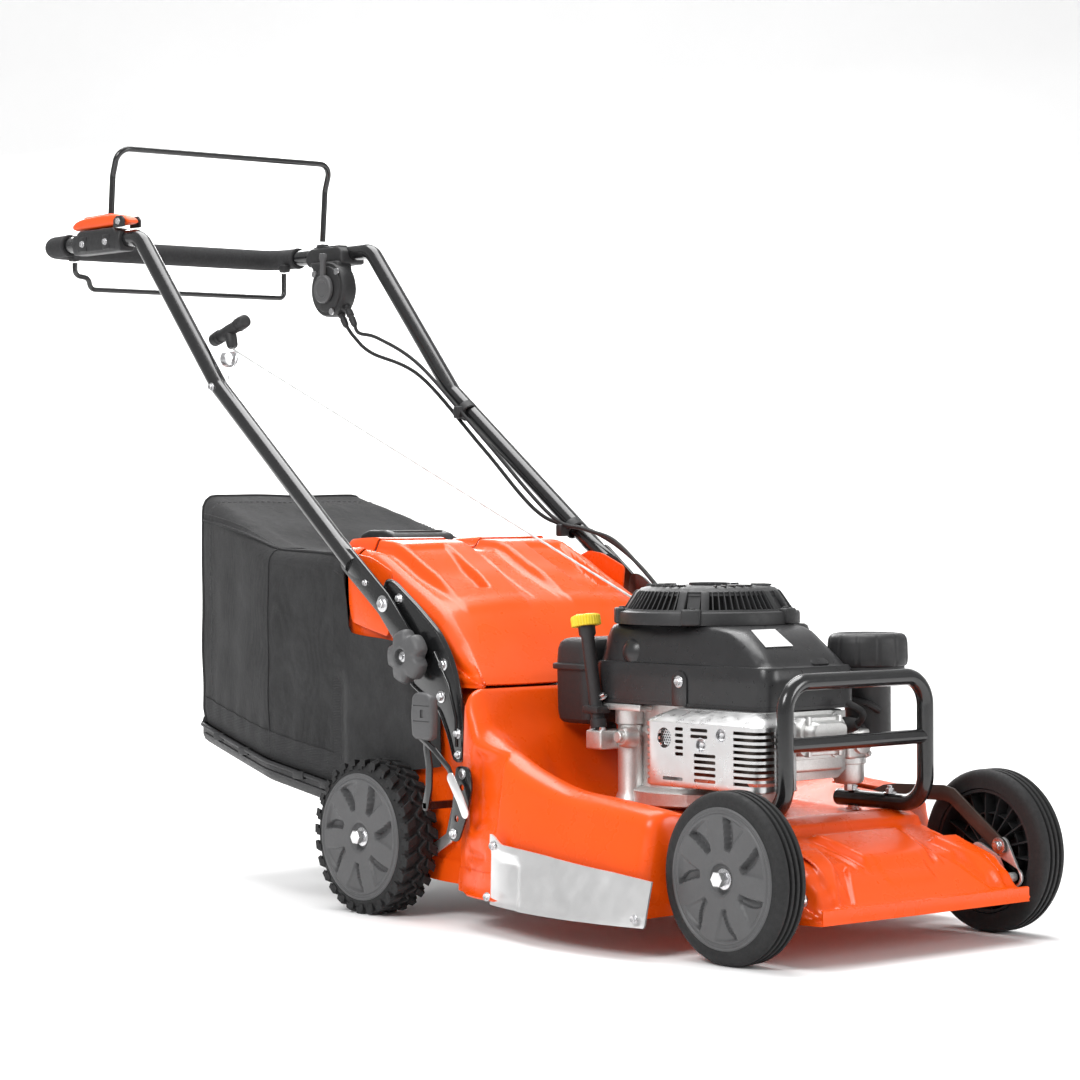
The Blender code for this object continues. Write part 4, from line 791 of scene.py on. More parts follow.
# ---------------------------------------------------------------- wheels
SPOKES = 7
POCKET = (0.035, 0.0725)        # inner and outer radius of a pocket
POCKET_HALF = (0.13, 0.275)     # half its angle at those radii
POCKET_DEPTH = 0.0095


def pocket_depth(radius, angle):
    """How far the wheel cover is pressed in at a place on its face."""
    spacing = 2 * math.pi / SPOKES
    local = (angle + spacing / 2) % spacing - spacing / 2
    share = (radius - POCKET[0]) / (POCKET[1] - POCKET[0])
    if not -0.1 < share < 1.1:
        return 0.0
    half = POCKET_HALF[0] + (POCKET_HALF[1] - POCKET_HALF[0]) * share
    side = min(1.0, max(0.0, (half - abs(local)) * radius / 0.0022))
    ends = min(1.0, max(0.0, share / 0.07)) * min(1.0, max(0.0, (1 - share) / 0.07))
    across = (local / half + 1) / 2
    slope = 0.35 + 0.65 * max(0.0, min(1.0, 1.15 * across + 0.35 * (1 - share) - 0.15))
    facet = 1.0 if local > half * (1.5 * share - 0.75) else 0.55
    return POCKET_DEPTH * min(side, ends) * slope * facet


def wheel_cover(centre, side, outer, spin):
    """Grey cover with seven pressed pockets, a rolled edge and a hub recess."""
    face = outer + 0.002
    profile = [(0.0066, face - 0.012), (0.0066, face - 0.0062), (0.014, face - 0.0062),
               (0.0165, face - 0.0045), (0.0185, face - 0.0012), (0.0215, face)]
    profile += [(0.0215 + 0.0535 * i / 38, face + 0.0006 * math.sin(math.pi * i / 38)) for i in range(1, 39)]
    profile += [(0.0765, face - 0.0012), (0.0785, face - 0.0012), (0.08, face), (0.082, face - 0.0002),
                (0.0833, face - 0.0016), (0.0833, outer + 0.0002), (0.0773, outer + 0.0002),
                (0.0773, face - 0.0125), (0.02, face - 0.0125)]
    mesh = lathe(profile, centre, (side, 0, 0), 7 * 32)
    first, second = square_to((side, 0, 0))
    for vertex in mesh.verts:
        arm = vertex.co - centre
        along = arm.x * side
        radius = math.hypot(arm.y, arm.z)
        if along > face - 0.0015 and 0.03 < radius < 0.075:
            angle = math.atan2(arm.dot(second), arm.dot(first)) + spin
            vertex.co.x -= side * pocket_depth(radius, angle)
    return mesh


def wheel_core(centre, side, inner, outer):
    """Black inner side of the wheel: barrel, hub, thin radial ribs and a stiffening ring."""
    face = outer + 0.002
    back = face - 0.0128
    barrel = lathe([(0.0768, inner + 0.002), (0.0772, outer), (0.0738, outer), (0.0732, inner + 0.002)],
                   centre, (side, 0, 0), 96)
    hub = lathe([(0.0068, inner + 0.0015), (0.0145, inner + 0.0015), (0.016, inner + 0.004), (0.017, back),
                 (0.0068, back)], centre, (side, 0, 0), 40)
    disc = lathe([(0.015, back - 0.0022), (0.0745, back - 0.0022), (0.0745, back), (0.015, back)], centre,
                 (side, 0, 0), 96)
    ring = lathe([(0.046, inner + 0.014), (0.0478, inner + 0.014), (0.0478, back), (0.046, back)], centre,
                 (side, 0, 0), 80)
    parts = [barrel, hub, disc, ring]
    for i in range(18):
        rib = slab([(0.014, inner + 0.006), (0.074, inner + 0.011), (0.074, back), (0.014, back)], -0.0009,
                   0.0009, "xy")
        for vertex in rib.verts:
            radius, along, thick = vertex.co
            vertex.co = Vector((side * along, radius, thick))
        parts.append(shift(turn(rib, 20 * i + 6, "X"), centre))
    return merged(*parts)


def grooved_tyre(centre, side, inner, outer):
    """Smooth front tyre with three grooves around the tread and a stepped sidewall."""
    r = WHEEL_RADIUS
    width = outer - inner
    profile = [(0.078, inner), (0.086, inner - 0.0001), (0.0915, inner), (r - 0.006, inner + 0.001),
               (r - 0.002, inner + 0.0035), (r - 0.0004, inner + 0.0062)]
    for k in range(3):
        middle = inner + width * (0.3 + 0.2 * k)
        profile += [(r, middle - 0.003), (r - 0.0004, middle - 0.0022), (r - 0.0042, middle - 0.0013),
                    (r - 0.0042, middle + 0.0013), (r - 0.0004, middle + 0.0022), (r, middle + 0.003)]
    profile += [(r - 0.0004, outer - 0.0062), (r - 0.002, outer - 0.0035), (r - 0.006, outer - 0.001),
                (0.0915, outer), (0.0895, outer - 0.0006), (0.087, outer - 0.0006), (0.085, outer),
                (0.078, outer)]
    return lathe(profile, centre, (side, 0, 0), 160)


def lug(angle, half_angle, low, high, skew=0.0, root=0.093, top=WHEEL_RADIUS, draft=0.0009):
    """One tread block between two distances along the axle, a little smaller at the top."""
    sections = []
    for radius, inset in ((root, 0.0), (top - 0.0008, draft * 0.7), (top, draft * 1.6)):
        half = half_angle - inset / radius
        ring = []
        for t, along in ((-half, low + inset), (half, low + inset), (half, high - inset),
                         (-half, high - inset)):
            t += angle + skew * (along - (low + high) / 2)
            ring.append(Vector((along, radius * math.cos(t), radius * math.sin(t))))
        sections.append(ring)
    return skin(sections)


def lugged_tyre(centre, side, inner, outer):
    """Rear drive tyre: carcass with staggered shoulder blocks and a broken middle row."""
    carcass = lathe([(0.078, inner + 0.0015), (0.088, inner + 0.0012), (0.093, inner + 0.003),
                     (0.096, inner + 0.0075), (0.0965, inner + 0.02), (0.0965, outer - 0.02),
                     (0.096, outer - 0.0075), (0.093, outer - 0.003), (0.088, outer - 0.0012),
                     (0.0855, outer), (0.078, outer)], centre, (side, 0, 0), 144)
    blocks = []
    count = 28
    pitch = 2 * math.pi / count
    middle = (inner + outer) / 2
    for i in range(count):
        blocks.append(lug(i * pitch, 0.062, outer - 0.017, outer - 0.0004, 6.0))
        blocks.append(lug((i + 0.5) * pitch, 0.062, inner + 0.0004, inner + 0.017, -6.0))
        blocks.append(lug(i * pitch, 0.05, outer - 0.005, outer - 0.0002, 0.0, 0.0885, 0.0975))
        blocks.append(lug((i + 0.5) * pitch, 0.05, inner + 0.0002, inner + 0.005, 0.0, 0.0885, 0.0975))
        blocks.append(lug((i + 0.25) * pitch, 0.04, middle - 0.007, middle + 0.0068, 9.0))
        blocks.append(lug((i + 0.75) * pitch, 0.03, middle - 0.005, middle + 0.005, -9.0))
    tread = merged(*blocks)
    for vertex in tread.verts:
        vertex.co = Vector((side * vertex.co.x, vertex.co.y, vertex.co.z)) + centre
    return merged(carcass, tread)


def build_wheels():
    """Tyre, cover, inner side and nut of each wheel."""
    for place, axle_y, inner, outer, spin in (("front", FRONT_AXLE_Y, 0.2025, 0.2437, 0.1),
                                              ("rear", REAR_AXLE_Y, 0.211, 0.2632, 0.35)):
        for name, side in SIDES:
            tag = place + "_" + name
            body = "wheel_" + tag
            centre = Vector((0, axle_y, WHEEL_RADIUS))
            tyre = (grooved_tyre if place == "front" else lugged_tyre)(centre, side, inner, outer)
            piece("tyre_shape_" + tag, tyre, "rubber", body, ["tyre_" + tag],
                  sharp=40 if place == "front" else 25)
            piece("wheel_cover_" + tag, wheel_cover(centre, side, outer, spin), "grey_plastic", body,
                  ["rim_" + tag], sharp=28)
            piece("wheel_core_" + tag, wheel_core(centre, side, inner, outer), "black_plastic", body,
                  sharp=35)
            seat = centre + Vector((side * (outer - 0.004), 0, 0))
            piece("wheel_nut_" + tag, hex_bolt(seat, (side, 0, 0), 0.0082, 0.0062, 1.5, 0.0065), "zinc",
                  "front_crank" if place == "front" else "rear_crank",
                  sharp=30)


build_wheels()


# ---------------------------------------------------------------- engine
def rounded_outline(corners, z, radius, steps=5):
    """A flat outline of (x, y) corners with round corners, at height z."""
    count = len(corners)
    points = []
    for i in range(count):
        corner = Vector((*corners[i], z))
        before, after = Vector((*corners[i - 1], z)), Vector((*corners[(i + 1) % count], z))
        reach = min(radius, 0.45 * (before - corner).length, 0.45 * (after - corner).length)
        a = corner + (before - corner).normalized() * reach
        b = corner + (after - corner).normalized() * reach
        for k in range(steps + 1):
            t = k / steps
            points.append((1 - t) ** 2 * a + 2 * t * (1 - t) * corner + t * t * b)
    return points


def round_corners(corners, radius, steps):
    """A flat outline with its corners rounded."""
    return [(p.x, p.y) for p in rounded_outline(corners, 0.0, radius, steps)]


def build_recoil_cover():
    """Round starter housing: ribbed dome, five pillars with studs, and the screen behind the ribs."""
    centre = ENGINE_CENTRE
    flange = lathe([(0.108, 0.3845), (0.116, 0.3845), (0.116, 0.3965), (0.1148, 0.3995), (0.109, 0.401),
                    (0.1075, 0.403), (0.102, 0.4035), (0.102, 0.39), (0.108, 0.389)], centre, sides=120)
    dome = lathe([(0.0, 0.433), (0.024, 0.433), (0.026, 0.4318), (0.056, 0.4318), (0.076, 0.431),
                  (0.0845, 0.429), (0.0895, 0.4255), (0.0895, 0.4235), (0.083, 0.425), (0.074, 0.4275),
                  (0.0, 0.4285)], centre, sides=120, closed=False)
    dome_rim = lathe([(0.082, 0.424), (0.09, 0.423), (0.0915, 0.4205), (0.085, 0.421)], centre, sides=120)
    parts = [flange, dome, dome_rim]
    outline = [(0.085, 0.426), (0.0898, 0.4262), (0.0925, 0.4235), (0.1068, 0.4025), (0.1, 0.401)]
    count = 80
    for i in range(count):
        degrees = 360 * i / count + 5
        if (degrees + 12) % 72 < 24:
            continue
        rib = slab(outline, -0.00075, 0.00075, "yz")
        swap_xy(rib)
        parts.append(shift(turn(rib, degrees, "Z"), centre))
    solid = [(0.083, 0.4262), (0.0905, 0.4266), (0.0938, 0.4238), (0.1078, 0.402), (0.098, 0.4005)]
    for k in range(5):
        for offset in (-8.5, 8.5):
            pillar = slab(solid, -0.0052, 0.0052, "yz", 0.001)
            swap_xy(pillar)
            parts.append(shift(turn(pillar, 72 * k + offset, "Z"), centre))
        recess = slab([(0.08, 0.424), (0.088, 0.424), (0.102, 0.402), (0.096, 0.4005)], -0.008, 0.008, "yz")
        swap_xy(recess)
        parts.append(shift(turn(recess, 72 * k, "Z"), centre))
        lug_box = box((0.106, -0.0125, 0.3842), (0.1195, 0.0125, 0.4045), 0.003, 3)
        parts.append(shift(turn(lug_box, 72 * k, "Z"), centre))
        stud = rod((0.11, 0.0, 0.404), (0.11, 0.0, 0.4062), 0.0042, 16, 0.0008)
        parts.append(shift(turn(stud, 72 * k, "Z"), centre))
    for i in range(40):
        degrees = 9 * i
        if (degrees + 14) % 72 < 28:
            continue
        fin = box((0.06, -0.0011, 0.4312), (0.08, 0.0011, 0.4334), 0.0004, 1)
        parts.append(shift(turn(fin, degrees, "Z"), centre))
    for i in range(-4, 5):
        parts.append(shift(box((-0.018, 0.0035 * i - 0.001, 0.4326), (0.018, 0.0035 * i + 0.001, 0.4345)),
                           centre))
    ring = lathe([(0.021, 0.4322), (0.0245, 0.4322), (0.0245, 0.4352), (0.0225, 0.4356), (0.021, 0.435)],
                 centre, sides=64)
    parts.append(ring)
    piece("recoil_cover", merged(*parts), "black_plastic", "chassis", ["recoil_housing"], sharp=35)
    screen = lathe([(0.06, 0.388), (0.079, 0.388), (0.079, 0.4225), (0.0775, 0.4225), (0.0775, 0.3895),
                    (0.06, 0.3895)], centre, sides=80)
    piece("recoil_screen", screen, "rubber", "chassis")


SHROUD_LEVELS = [  # z, half width, front y, rear y, corner radius
    (0.285, 0.101, -0.645, -0.323, 0.022), (0.317, 0.101, -0.645, -0.323, 0.022),
    (0.3325, 0.1005, -0.644, -0.3235, 0.022), (0.336, 0.099, -0.642, -0.3245, 0.022),
    (0.3368, 0.0955, -0.637, -0.327, 0.022), (0.338, 0.095, -0.635, -0.3275, 0.022),
    (0.344, 0.0945, -0.63, -0.328, 0.024), (0.354, 0.093, -0.618, -0.329, 0.026),
    (0.366, 0.0915, -0.602, -0.331, 0.028), (0.376, 0.0895, -0.586, -0.333, 0.03),
    (0.3815, 0.0865, -0.57, -0.336, 0.03), (0.3838, 0.081, -0.556, -0.34, 0.03),
]


def shroud_outline(level, inset=0.0):
    """The shroud's outline at one level."""
    z, half, front, rear, radius = level
    half, front, rear = half - inset, front + inset, rear - inset
    notch_x, notch_y = half - 0.046, min(-0.535, front + 0.11)
    corners = [(-half, rear), (half, rear), (half, notch_y), (notch_x, notch_y - 0.012), (notch_x, front),
               (-half, front)]
    return rounded_outline(corners, z, radius, 6)


def build_shroud():
    """Black fan shroud over the engine."""
    outer = [shroud_outline(level) for level in SHROUD_LEVELS]
    inner = [shroud_outline((z - (0.0 if k == 0 else 0.0022), half, front, rear, radius), 0.0025)
             for k, (z, half, front, rear, radius) in enumerate(SHROUD_LEVELS)]
    hood = shell(outer, inner, loop=True)
    hood = merged(hood, skin([[p + Vector((0, 0, dz)) for p in shroud_outline(SHROUD_LEVELS[-1], 0.0012)]
                              for dz in (-0.0022, 0.0)]))
    ridge = slab([(-0.64, 0.3372), (-0.602, 0.364), (-0.56, 0.3825), (-0.548, 0.3825), (-0.548, 0.335)],
                 -0.018, 0.018, "yz", 0.006, 3)
    ball = lathe([(0.0, 0.016)] + [(0.0245 * math.sin(t * math.pi / 24), 0.0235 * math.cos(t * math.pi / 24))
                                   for t in range(1, 13)] + [(0.0245, -0.01), (0.0, -0.01)],
                 (-0.0755, -0.392, 0.348), (-0.35, 0.25, 1.0), 40, closed=False)
    band = shell(*[[shroud_outline((z, half, front, rear, 0.022)) for z in (0.2846, 0.2885)]
                   for half, front, rear in ((0.1022, -0.6462, -0.3218), (0.1, -0.644, -0.324))], loop=True)
    tab = slab([(-0.491 + 0.0135 * math.cos(t), 0.3155 + 0.0135 * math.sin(t))
                for t in [math.pi * i / 12 for i in range(13)]] + [(-0.5045, 0.285), (-0.4775, 0.285)],
               -0.1032, -0.099, "yz", 0.0012)
    piece("fan_hood", merged(hood, ridge, ball, band, tab), "gloss_plastic", "chassis", ["fan_shroud"],
          sharp=38)
    screws = [hex_bolt((-0.103, -0.491, 0.3155), (-1, 0, 0), 0.005, 0.0036, 1.5),
              hex_bolt((0.1012, -0.44, 0.3155), (1, 0, 0), 0.005, 0.0036, 1.5)]
    piece("hood_bolts", merged(*screws), "zinc", "chassis")
    corners = ((-0.07, -0.6105, 0.36), (-0.024, -0.6105, 0.36), (-0.024, -0.579, 0.3795),
               (-0.064, -0.579, 0.3795))
    outward = Vector((0, -0.62, 0.78)).normalized()
    plate = skin([[Vector(corner) + outward * lift for corner in corners] for lift in (0.0006, 0.0014)])
    piece("rating_plate", plate, "label", "chassis", sharp=20)


def build_block():
    """Crankcase and finned cylinder."""
    centre = ENGINE_CENTRE
    case = lathe([(0.014, 0.1566), (0.096, 0.1566), (0.1, 0.159), (0.1, 0.174), (0.097, 0.1765),
                  (0.088, 0.18), (0.0855, 0.186), (0.085, 0.24), (0.087, 0.244), (0.087, 0.252),
                  (0.085, 0.256), (0.085, 0.2835), (0.014, 0.2835)], centre, sides=72)
    parts = [case]
    parts.append(turned([(0.021, 0.159), (0.019, 0.166), (0.0165, 0.172), (0.0165, 0.256), (0.0195, 0.258),
                         (0.0195, 0.2835)], (-0.08, -0.376, 0), sides=36))
    parts.append(box((-0.122, -0.366, 0.225), (-0.08, -0.336, 0.2495), 0.003, 3))
    parts.append(box((-0.104, -0.42, 0.275), (-0.05, -0.335, 0.2835), 0.002))
    for degrees in (20, 65, 110, 250, 295, 340):
        ear = box((0.08, -0.011, 0.1566), (0.107, 0.011, 0.172), 0.0035, 3)
        parts.append(shift(turn(ear, degrees, "Z"), centre))
    for x in (-0.052, -0.013, 0.026):
        parts.append(box((x - 0.003, -0.52, 0.18), (x + 0.003, -0.48, 0.2835), 0.001))
    parts.append(box((-0.06, -0.64, 0.208), (0.034, -0.48, 0.283), 0.004, 3))
    for i in range(8):
        y = -0.63 + 0.0125 * i
        low = 0.1975 + 0.0015 * i
        parts.append(slab([(-0.072, low + 0.01), (-0.06, low), (0.034, low), (0.048, low + 0.01),
                           (0.048, 0.28), (-0.072, 0.28)], y, y + 0.0026, "xz", 0.0008, 2))
    plug_seat, plug_axis = Vector((-0.0975, -0.384, 0.241)), Vector((-1, 0.05, 0.08))
    parts.append(turned([(0.015, -0.012), (0.0125, 0.003), (0.01, 0.006)], plug_seat, plug_axis, 28))
    parts.append(turned([(0.0072, 0.006), (0.0072, 0.012), (0.006, 0.0132)], plug_seat, plug_axis, 28))
    piece("engine_casting", merged(*parts), "cast_aluminium", "chassis", ["engine_block"], sharp=35)
    bolts = [hex_bolt((x, y, 0.2492), (0, 0, 1), 0.004, 0.0032)
             for x, y in ((-0.114, -0.342), (-0.114, -0.36))]
    bolts.append(hex_bolt((-0.106, -0.352, 0.29), (-0.6, 0, 1), 0.0046, 0.005, 1.4))
    for degrees in (20, 65, 295, 340):
        t = math.radians(degrees)
        bolts.append(hex_bolt((0.099 * math.cos(t), CRANK_Y + 0.099 * math.sin(t), 0.172), (0, 0, 1), 0.005,
                              0.0045))
    piece("engine_bolts", merged(*bolts), "zinc", "chassis")


def scaled_outline(outline, middle, shrink, y):
    """An outline shrunk about a middle point, in the plane at y."""
    return [Vector((middle[0] + (x - middle[0]) * shrink, y, middle[1] + (z - middle[1]) * shrink))
            for x, z in outline]


def build_valve_cover():
    """Valve cover at the front of the cylinder, with the spark plug and its boot."""
    flange = [(-0.076, 0.224), (0.018, 0.224), (0.024, 0.24), (0.024, 0.276), (0.01, 0.283), (-0.066, 0.283),
              (-0.076, 0.27)]
    middle = (-0.026, 0.253)
    rounded = round_corners(flange, 0.011, 5)
    sections = [scaled_outline(rounded, middle, s, y)
                for y, s in ((-0.6405, 1.0), (-0.644, 1.0), (-0.645, 0.985), (-0.6452, 0.84), (-0.66, 0.8),
                             (-0.664, 0.76), (-0.6646, 0.64), (-0.6745, 0.6), (-0.678, 0.54))]
    cover = skin(sections)
    gasket = skin([scaled_outline(rounded, middle, 1.01, y) for y in (-0.6404, -0.639)])
    ribs = [slab([(x - 0.003, 0.229), (x + 0.003, 0.229), (x + 0.003, 0.278), (x - 0.003, 0.278)], -0.669,
                 -0.66, "xz", 0.0012, 2) for x in (-0.052, 0.0)]
    spots = [(-0.066, 0.274), (0.013, 0.272), (0.013, 0.233), (-0.066, 0.233)]
    bosses = [turned([(0.0085, -0.002), (0.008, 0.004)], (x, -0.644, z), (0, -1, 0), 24) for x, z in spots]
    piece("valve_lid", merged(cover, *ribs, *bosses), "cast_aluminium", "chassis", ["valve_cover"], sharp=35)
    bolts = [hex_bolt((x, -0.648, z), (0, -1, 0), 0.0048, 0.0042, 1.25) for x, z in spots]
    piece("valve_bolts", merged(*bolts), "zinc", "chassis")
    piece("valve_gasket", gasket, "rubber", "chassis")
    boot = tube(spline([(0.03, -0.64, 0.262), (0.034, -0.664, 0.266), (0.03, -0.676, 0.28),
                        (0.02, -0.66, 0.292)], 6), 0.0042, 14)
    plug = turned([(0.0105, 0.0), (0.0105, 0.01), (0.008, 0.022), (0.006, 0.026)], (0.03, -0.64, 0.262),
                  (0.1, -1, 0.12), 24)
    piece("spark_plug_boot", merged(boot, plug), "rubber", "chassis")


def build_muffler_guard():
    """Bright sheet box with a sloping top, slots that wrap round its corners and two screw recesses."""
    def outline(x0, x1, y0, y1, z, radius):
        return rounded_outline([(x0, y0), (x1, y0), (x1, y1), (x0, y1)], z, radius, 8)
    levels = [(0.1915, -0.147, -0.677, -0.478, 0.012), (0.1925, -0.1495, -0.6795, -0.4755, 0.016),
              (0.1945, -0.15, -0.68, -0.475, 0.018), (0.269, -0.15, -0.68, -0.475, 0.018),
              (0.2712, -0.148, -0.6785, -0.4765, 0.018), (0.2722, -0.146, -0.677, -0.478, 0.018),
              (0.274, -0.144, -0.6755, -0.48, 0.018), (0.2825, -0.124, -0.654, -0.495, 0.014),
              (0.2838, -0.1215, -0.651, -0.497, 0.014)]
    outer = [outline(x0, -0.078, y0, y1, z, r) for z, x0, y0, y1, r in levels]
    inner = [outline(x0 + 0.0016, -0.08, y0 + 0.0016, y1 - 0.0016, z - 0.0012, max(r - 0.0016, 0.004))
             for z, x0, y0, y1, r in levels]
    body = shell(outer, inner, loop=True)
    lid = skin([outline(-0.1216, -0.0781, -0.6511, -0.4969, z, 0.014) for z in (0.2826, 0.284)])

    def slot_cut(y0, y1, z, height=0.0042):
        return box((-0.156, y0, z), (-0.142, y1, z + height), 0.0018, 3)

    def corner_cut(y0, y1, x1, z, height=0.0042):
        if y0 < -0.64:
            return merged(box((-0.156, -0.688, z), (-0.142, y1, z + height)),
                          box((-0.15, -0.688, z), (x1, -0.672, z + height)))
        return merged(box((-0.156, y0, z), (-0.142, -0.466, z + height)),
                      box((-0.15, -0.482, z), (x1, -0.466, z + height)))
    cuts = []
    heights = [0.199 + 0.0076 * i for i in range(9)]
    for z in heights:
        cuts.append(corner_cut(-0.488, 0.0, -0.118, z, 0.0036))
        cuts.append(corner_cut(-0.7, -0.637, -0.122, z, 0.004))
    for i, z in enumerate(heights):
        if i <= 4:
            cuts.append(slot_cut(-0.606, -0.568, z))
        elif i >= 7:
            cuts.append(slot_cut(-0.592, -0.562, z))
        if i == 0:
            cuts.append(slot_cut(-0.548, -0.512, z))
        elif i >= 4:
            cuts.append(slot_cut(-0.549, -0.5345, z))
    hole = turned([(0.0125, -0.158), (0.0125, -0.14)], (0, -0.515, 0.25), (1, 0, 0), 28)
    cuts.append(hole)
    screws = [(-0.615, 0.2575), (-0.58, 0.244)]
    for y, z in screws:
        cuts.append(turned([(0.0078, -0.158), (0.0078, -0.14)], (0, y, z), (1, 0, 0), 24))
    body = carve(body, *cuts)
    piece("muffler_cage", merged(body, lid), "sheet_metal", "chassis", ["muffler_guard"], sharp=32)
    cups = []
    for y, z in screws:
        cups.append(lathe([(0.0079, -0.1502), (0.0092, -0.1502), (0.0092, -0.142), (0.0, -0.142),
                           (0.0, -0.1435), (0.0079, -0.1435)], (0, y, z), (1, 0, 0), 28))
        cups.append(hex_bolt((-0.1435, y, z), (-1, 0, 0), 0.0044, 0.0036, 1.3))
    piece("muffler_screws", merged(*cups), "zinc", "chassis")
    grid = turned([(0.014, -0.144), (0.014, -0.142)], (0, -0.515, 0.25), (1, 0, 0), 40)
    holes = []
    for i in range(-3, 4):
        for k in range(-3, 4):
            if i * i + k * k < 11:
                y, z = -0.515 + 0.0036 * (i + 0.5 * (k % 2)), 0.25 + 0.0032 * k
                holes.append(rod((-0.146, y, z), (-0.14, y, z), 0.0012, 8))
    piece("muffler_grid", carve(grid, *holes), "zinc", "chassis", sharp=30)
    can = box((-0.138, -0.655, 0.204), (-0.092, -0.5, 0.276), 0.012, 4)
    flange = box((-0.096, -0.62, 0.216), (-0.07, -0.56, 0.264), 0.004, 2)
    outlet = tube(spline([(-0.11, -0.6, 0.206), (-0.112, -0.606, 0.196), (-0.116, -0.616, 0.19)], 5), 0.01,
                  20)
    piece("muffler_can", merged(can, flange, outlet), "dark_steel", "chassis", ["muffler"], sharp=35)


def build_tank():
    """Black fuel tank with its neck, bracket and cap."""
    def outline(inset, z, radius=0.016):
        x0, x1, y0, y1 = -0.106 + inset, 0.08 - inset, -0.322 + inset * 0.85, -0.243 - inset * 0.85
        return rounded_outline([(x0, y0), (x1, y0), (x1, y1), (x0, y1)], z, radius, 7)
    levels = [(0.02, 0.253, 0.01), (0.012, 0.2545, 0.014), (0.008, 0.259, 0.016), (0.0062, 0.27, 0.017),
              (0.0052, 0.3225, 0.018), (0.001, 0.3232, 0.02), (0.0, 0.3245, 0.021), (0.0, 0.329, 0.021),
              (0.001, 0.3303, 0.02), (0.0052, 0.3312, 0.018), (0.0062, 0.349, 0.018), (0.0085, 0.357, 0.018),
              (0.013, 0.3615, 0.017), (0.02, 0.3632, 0.014)]
    body = skin([outline(*level) for level in levels])
    neck = turned([(0.02, 0.36), (0.018, 0.3633)], (0.035, -0.283, 0), sides=32)
    lugs = [box((x - 0.008, -0.326, 0.3235), (x + 0.008, -0.318, 0.3305), 0.0015, 2) for x in (-0.06, 0.05)]
    bracket = box((-0.095, -0.333, 0.235), (-0.064, -0.314, 0.256), 0.004, 2)
    piece("tank_shell", merged(body, neck, bracket, *lugs), "black_plastic", "chassis", ["fuel_tank"],
          sharp=32)
    cap = turned([(0.0225, 0.3634), (0.0235, 0.365), (0.0235, 0.377), (0.022, 0.38), (0.0195, 0.3812),
                  (0.012, 0.3806)], (0.035, -0.283, 0), sides=96,
                 wobble=lambda t, k: 1.0 - 0.035 * (math.cos(24 * t) > 0.4) * (1 < k < 5))
    piece("tank_cap", cap, "black_plastic", "fuel_cap", ["fuel_cap"], sharp=30)


def build_air_cleaner():
    """Round air cleaner: base with elbow and hose, and a grooved cap."""
    centre = Vector((0.118, -0.6, 0))
    base = turned([(0.025, 0.242), (0.0285, 0.245), (0.029, 0.25), (0.029, 0.315), (0.031, 0.32),
                   (0.044, 0.324), (0.0462, 0.326), (0.0462, 0.3308)], centre, sides=64)
    elbow = box((0.086, -0.618, 0.23), (0.11, -0.586, 0.262), 0.006, 3)
    hose = tube(spline([(0.052, -0.588, 0.3), (0.075, -0.6, 0.292), (0.092, -0.622, 0.286),
                        (0.108, -0.63, 0.276)], 5), 0.0042, 14)
    piece("air_filter_base", merged(base, elbow, hose), "black_plastic", "chassis", ["air_cleaner_base"],
          sharp=32)

    def groove(t, k):
        return 1.0 - (0.016 if 2 <= k <= 7 else 0.0) * (math.cos(12 * t) > 0.93)
    cover = turned([(0.047, 0.3314), (0.049, 0.333), (0.0502, 0.337), (0.0505, 0.342), (0.05, 0.36),
                    (0.049, 0.366), (0.0465, 0.37), (0.043, 0.3718), (0.039, 0.3724), (0.037, 0.3712)],
                   centre, sides=216, wobble=groove)
    piece("air_filter_cap", cover, "black_plastic", "air_cleaner_cover", ["air_cleaner_cover"], sharp=34)


def build_carburettor():
    """Carburettor with bowl, throat and governor link."""
    centre = (0.071, -0.612, 0)
    bowl = turned([(0.01, 0.1865), (0.017, 0.1885), (0.0195, 0.193), (0.02, 0.212), (0.0222, 0.213),
                   (0.0222, 0.22)], centre, sides=48)
    drain = turned([(0.005, 0.1785), (0.0058, 0.18), (0.0058, 0.1865)], centre, sides=6)
    body = box((0.049, -0.634, 0.219), (0.088, -0.588, 0.256), 0.004, 3)
    throat = rod((0.07, -0.64, 0.24), (0.07, -0.58, 0.24), 0.015, 32, 0.0015)
    screws = [hex_bolt((x, -0.6335, z), (0, -1, 0), 0.0036, 0.003)
              for x, z in ((0.054, 0.25), (0.083, 0.225))]
    tower = rod((0.06, -0.612, 0.25), (0.06, -0.612, 0.268), 0.0065, 20, 0.001)
    piece("carburettor_body", merged(bowl, drain, body, throat, tower, *screws), "cast_aluminium", "chassis",
          ["carburettor"], sharp=35)
    rod_path = spline([(0.06, -0.6, 0.269), (0.05, -0.57, 0.275), (0.02, -0.55, 0.278)], 5)
    piece("governor_link", tube(rod_path, 0.0012, 8), "zinc", "chassis")


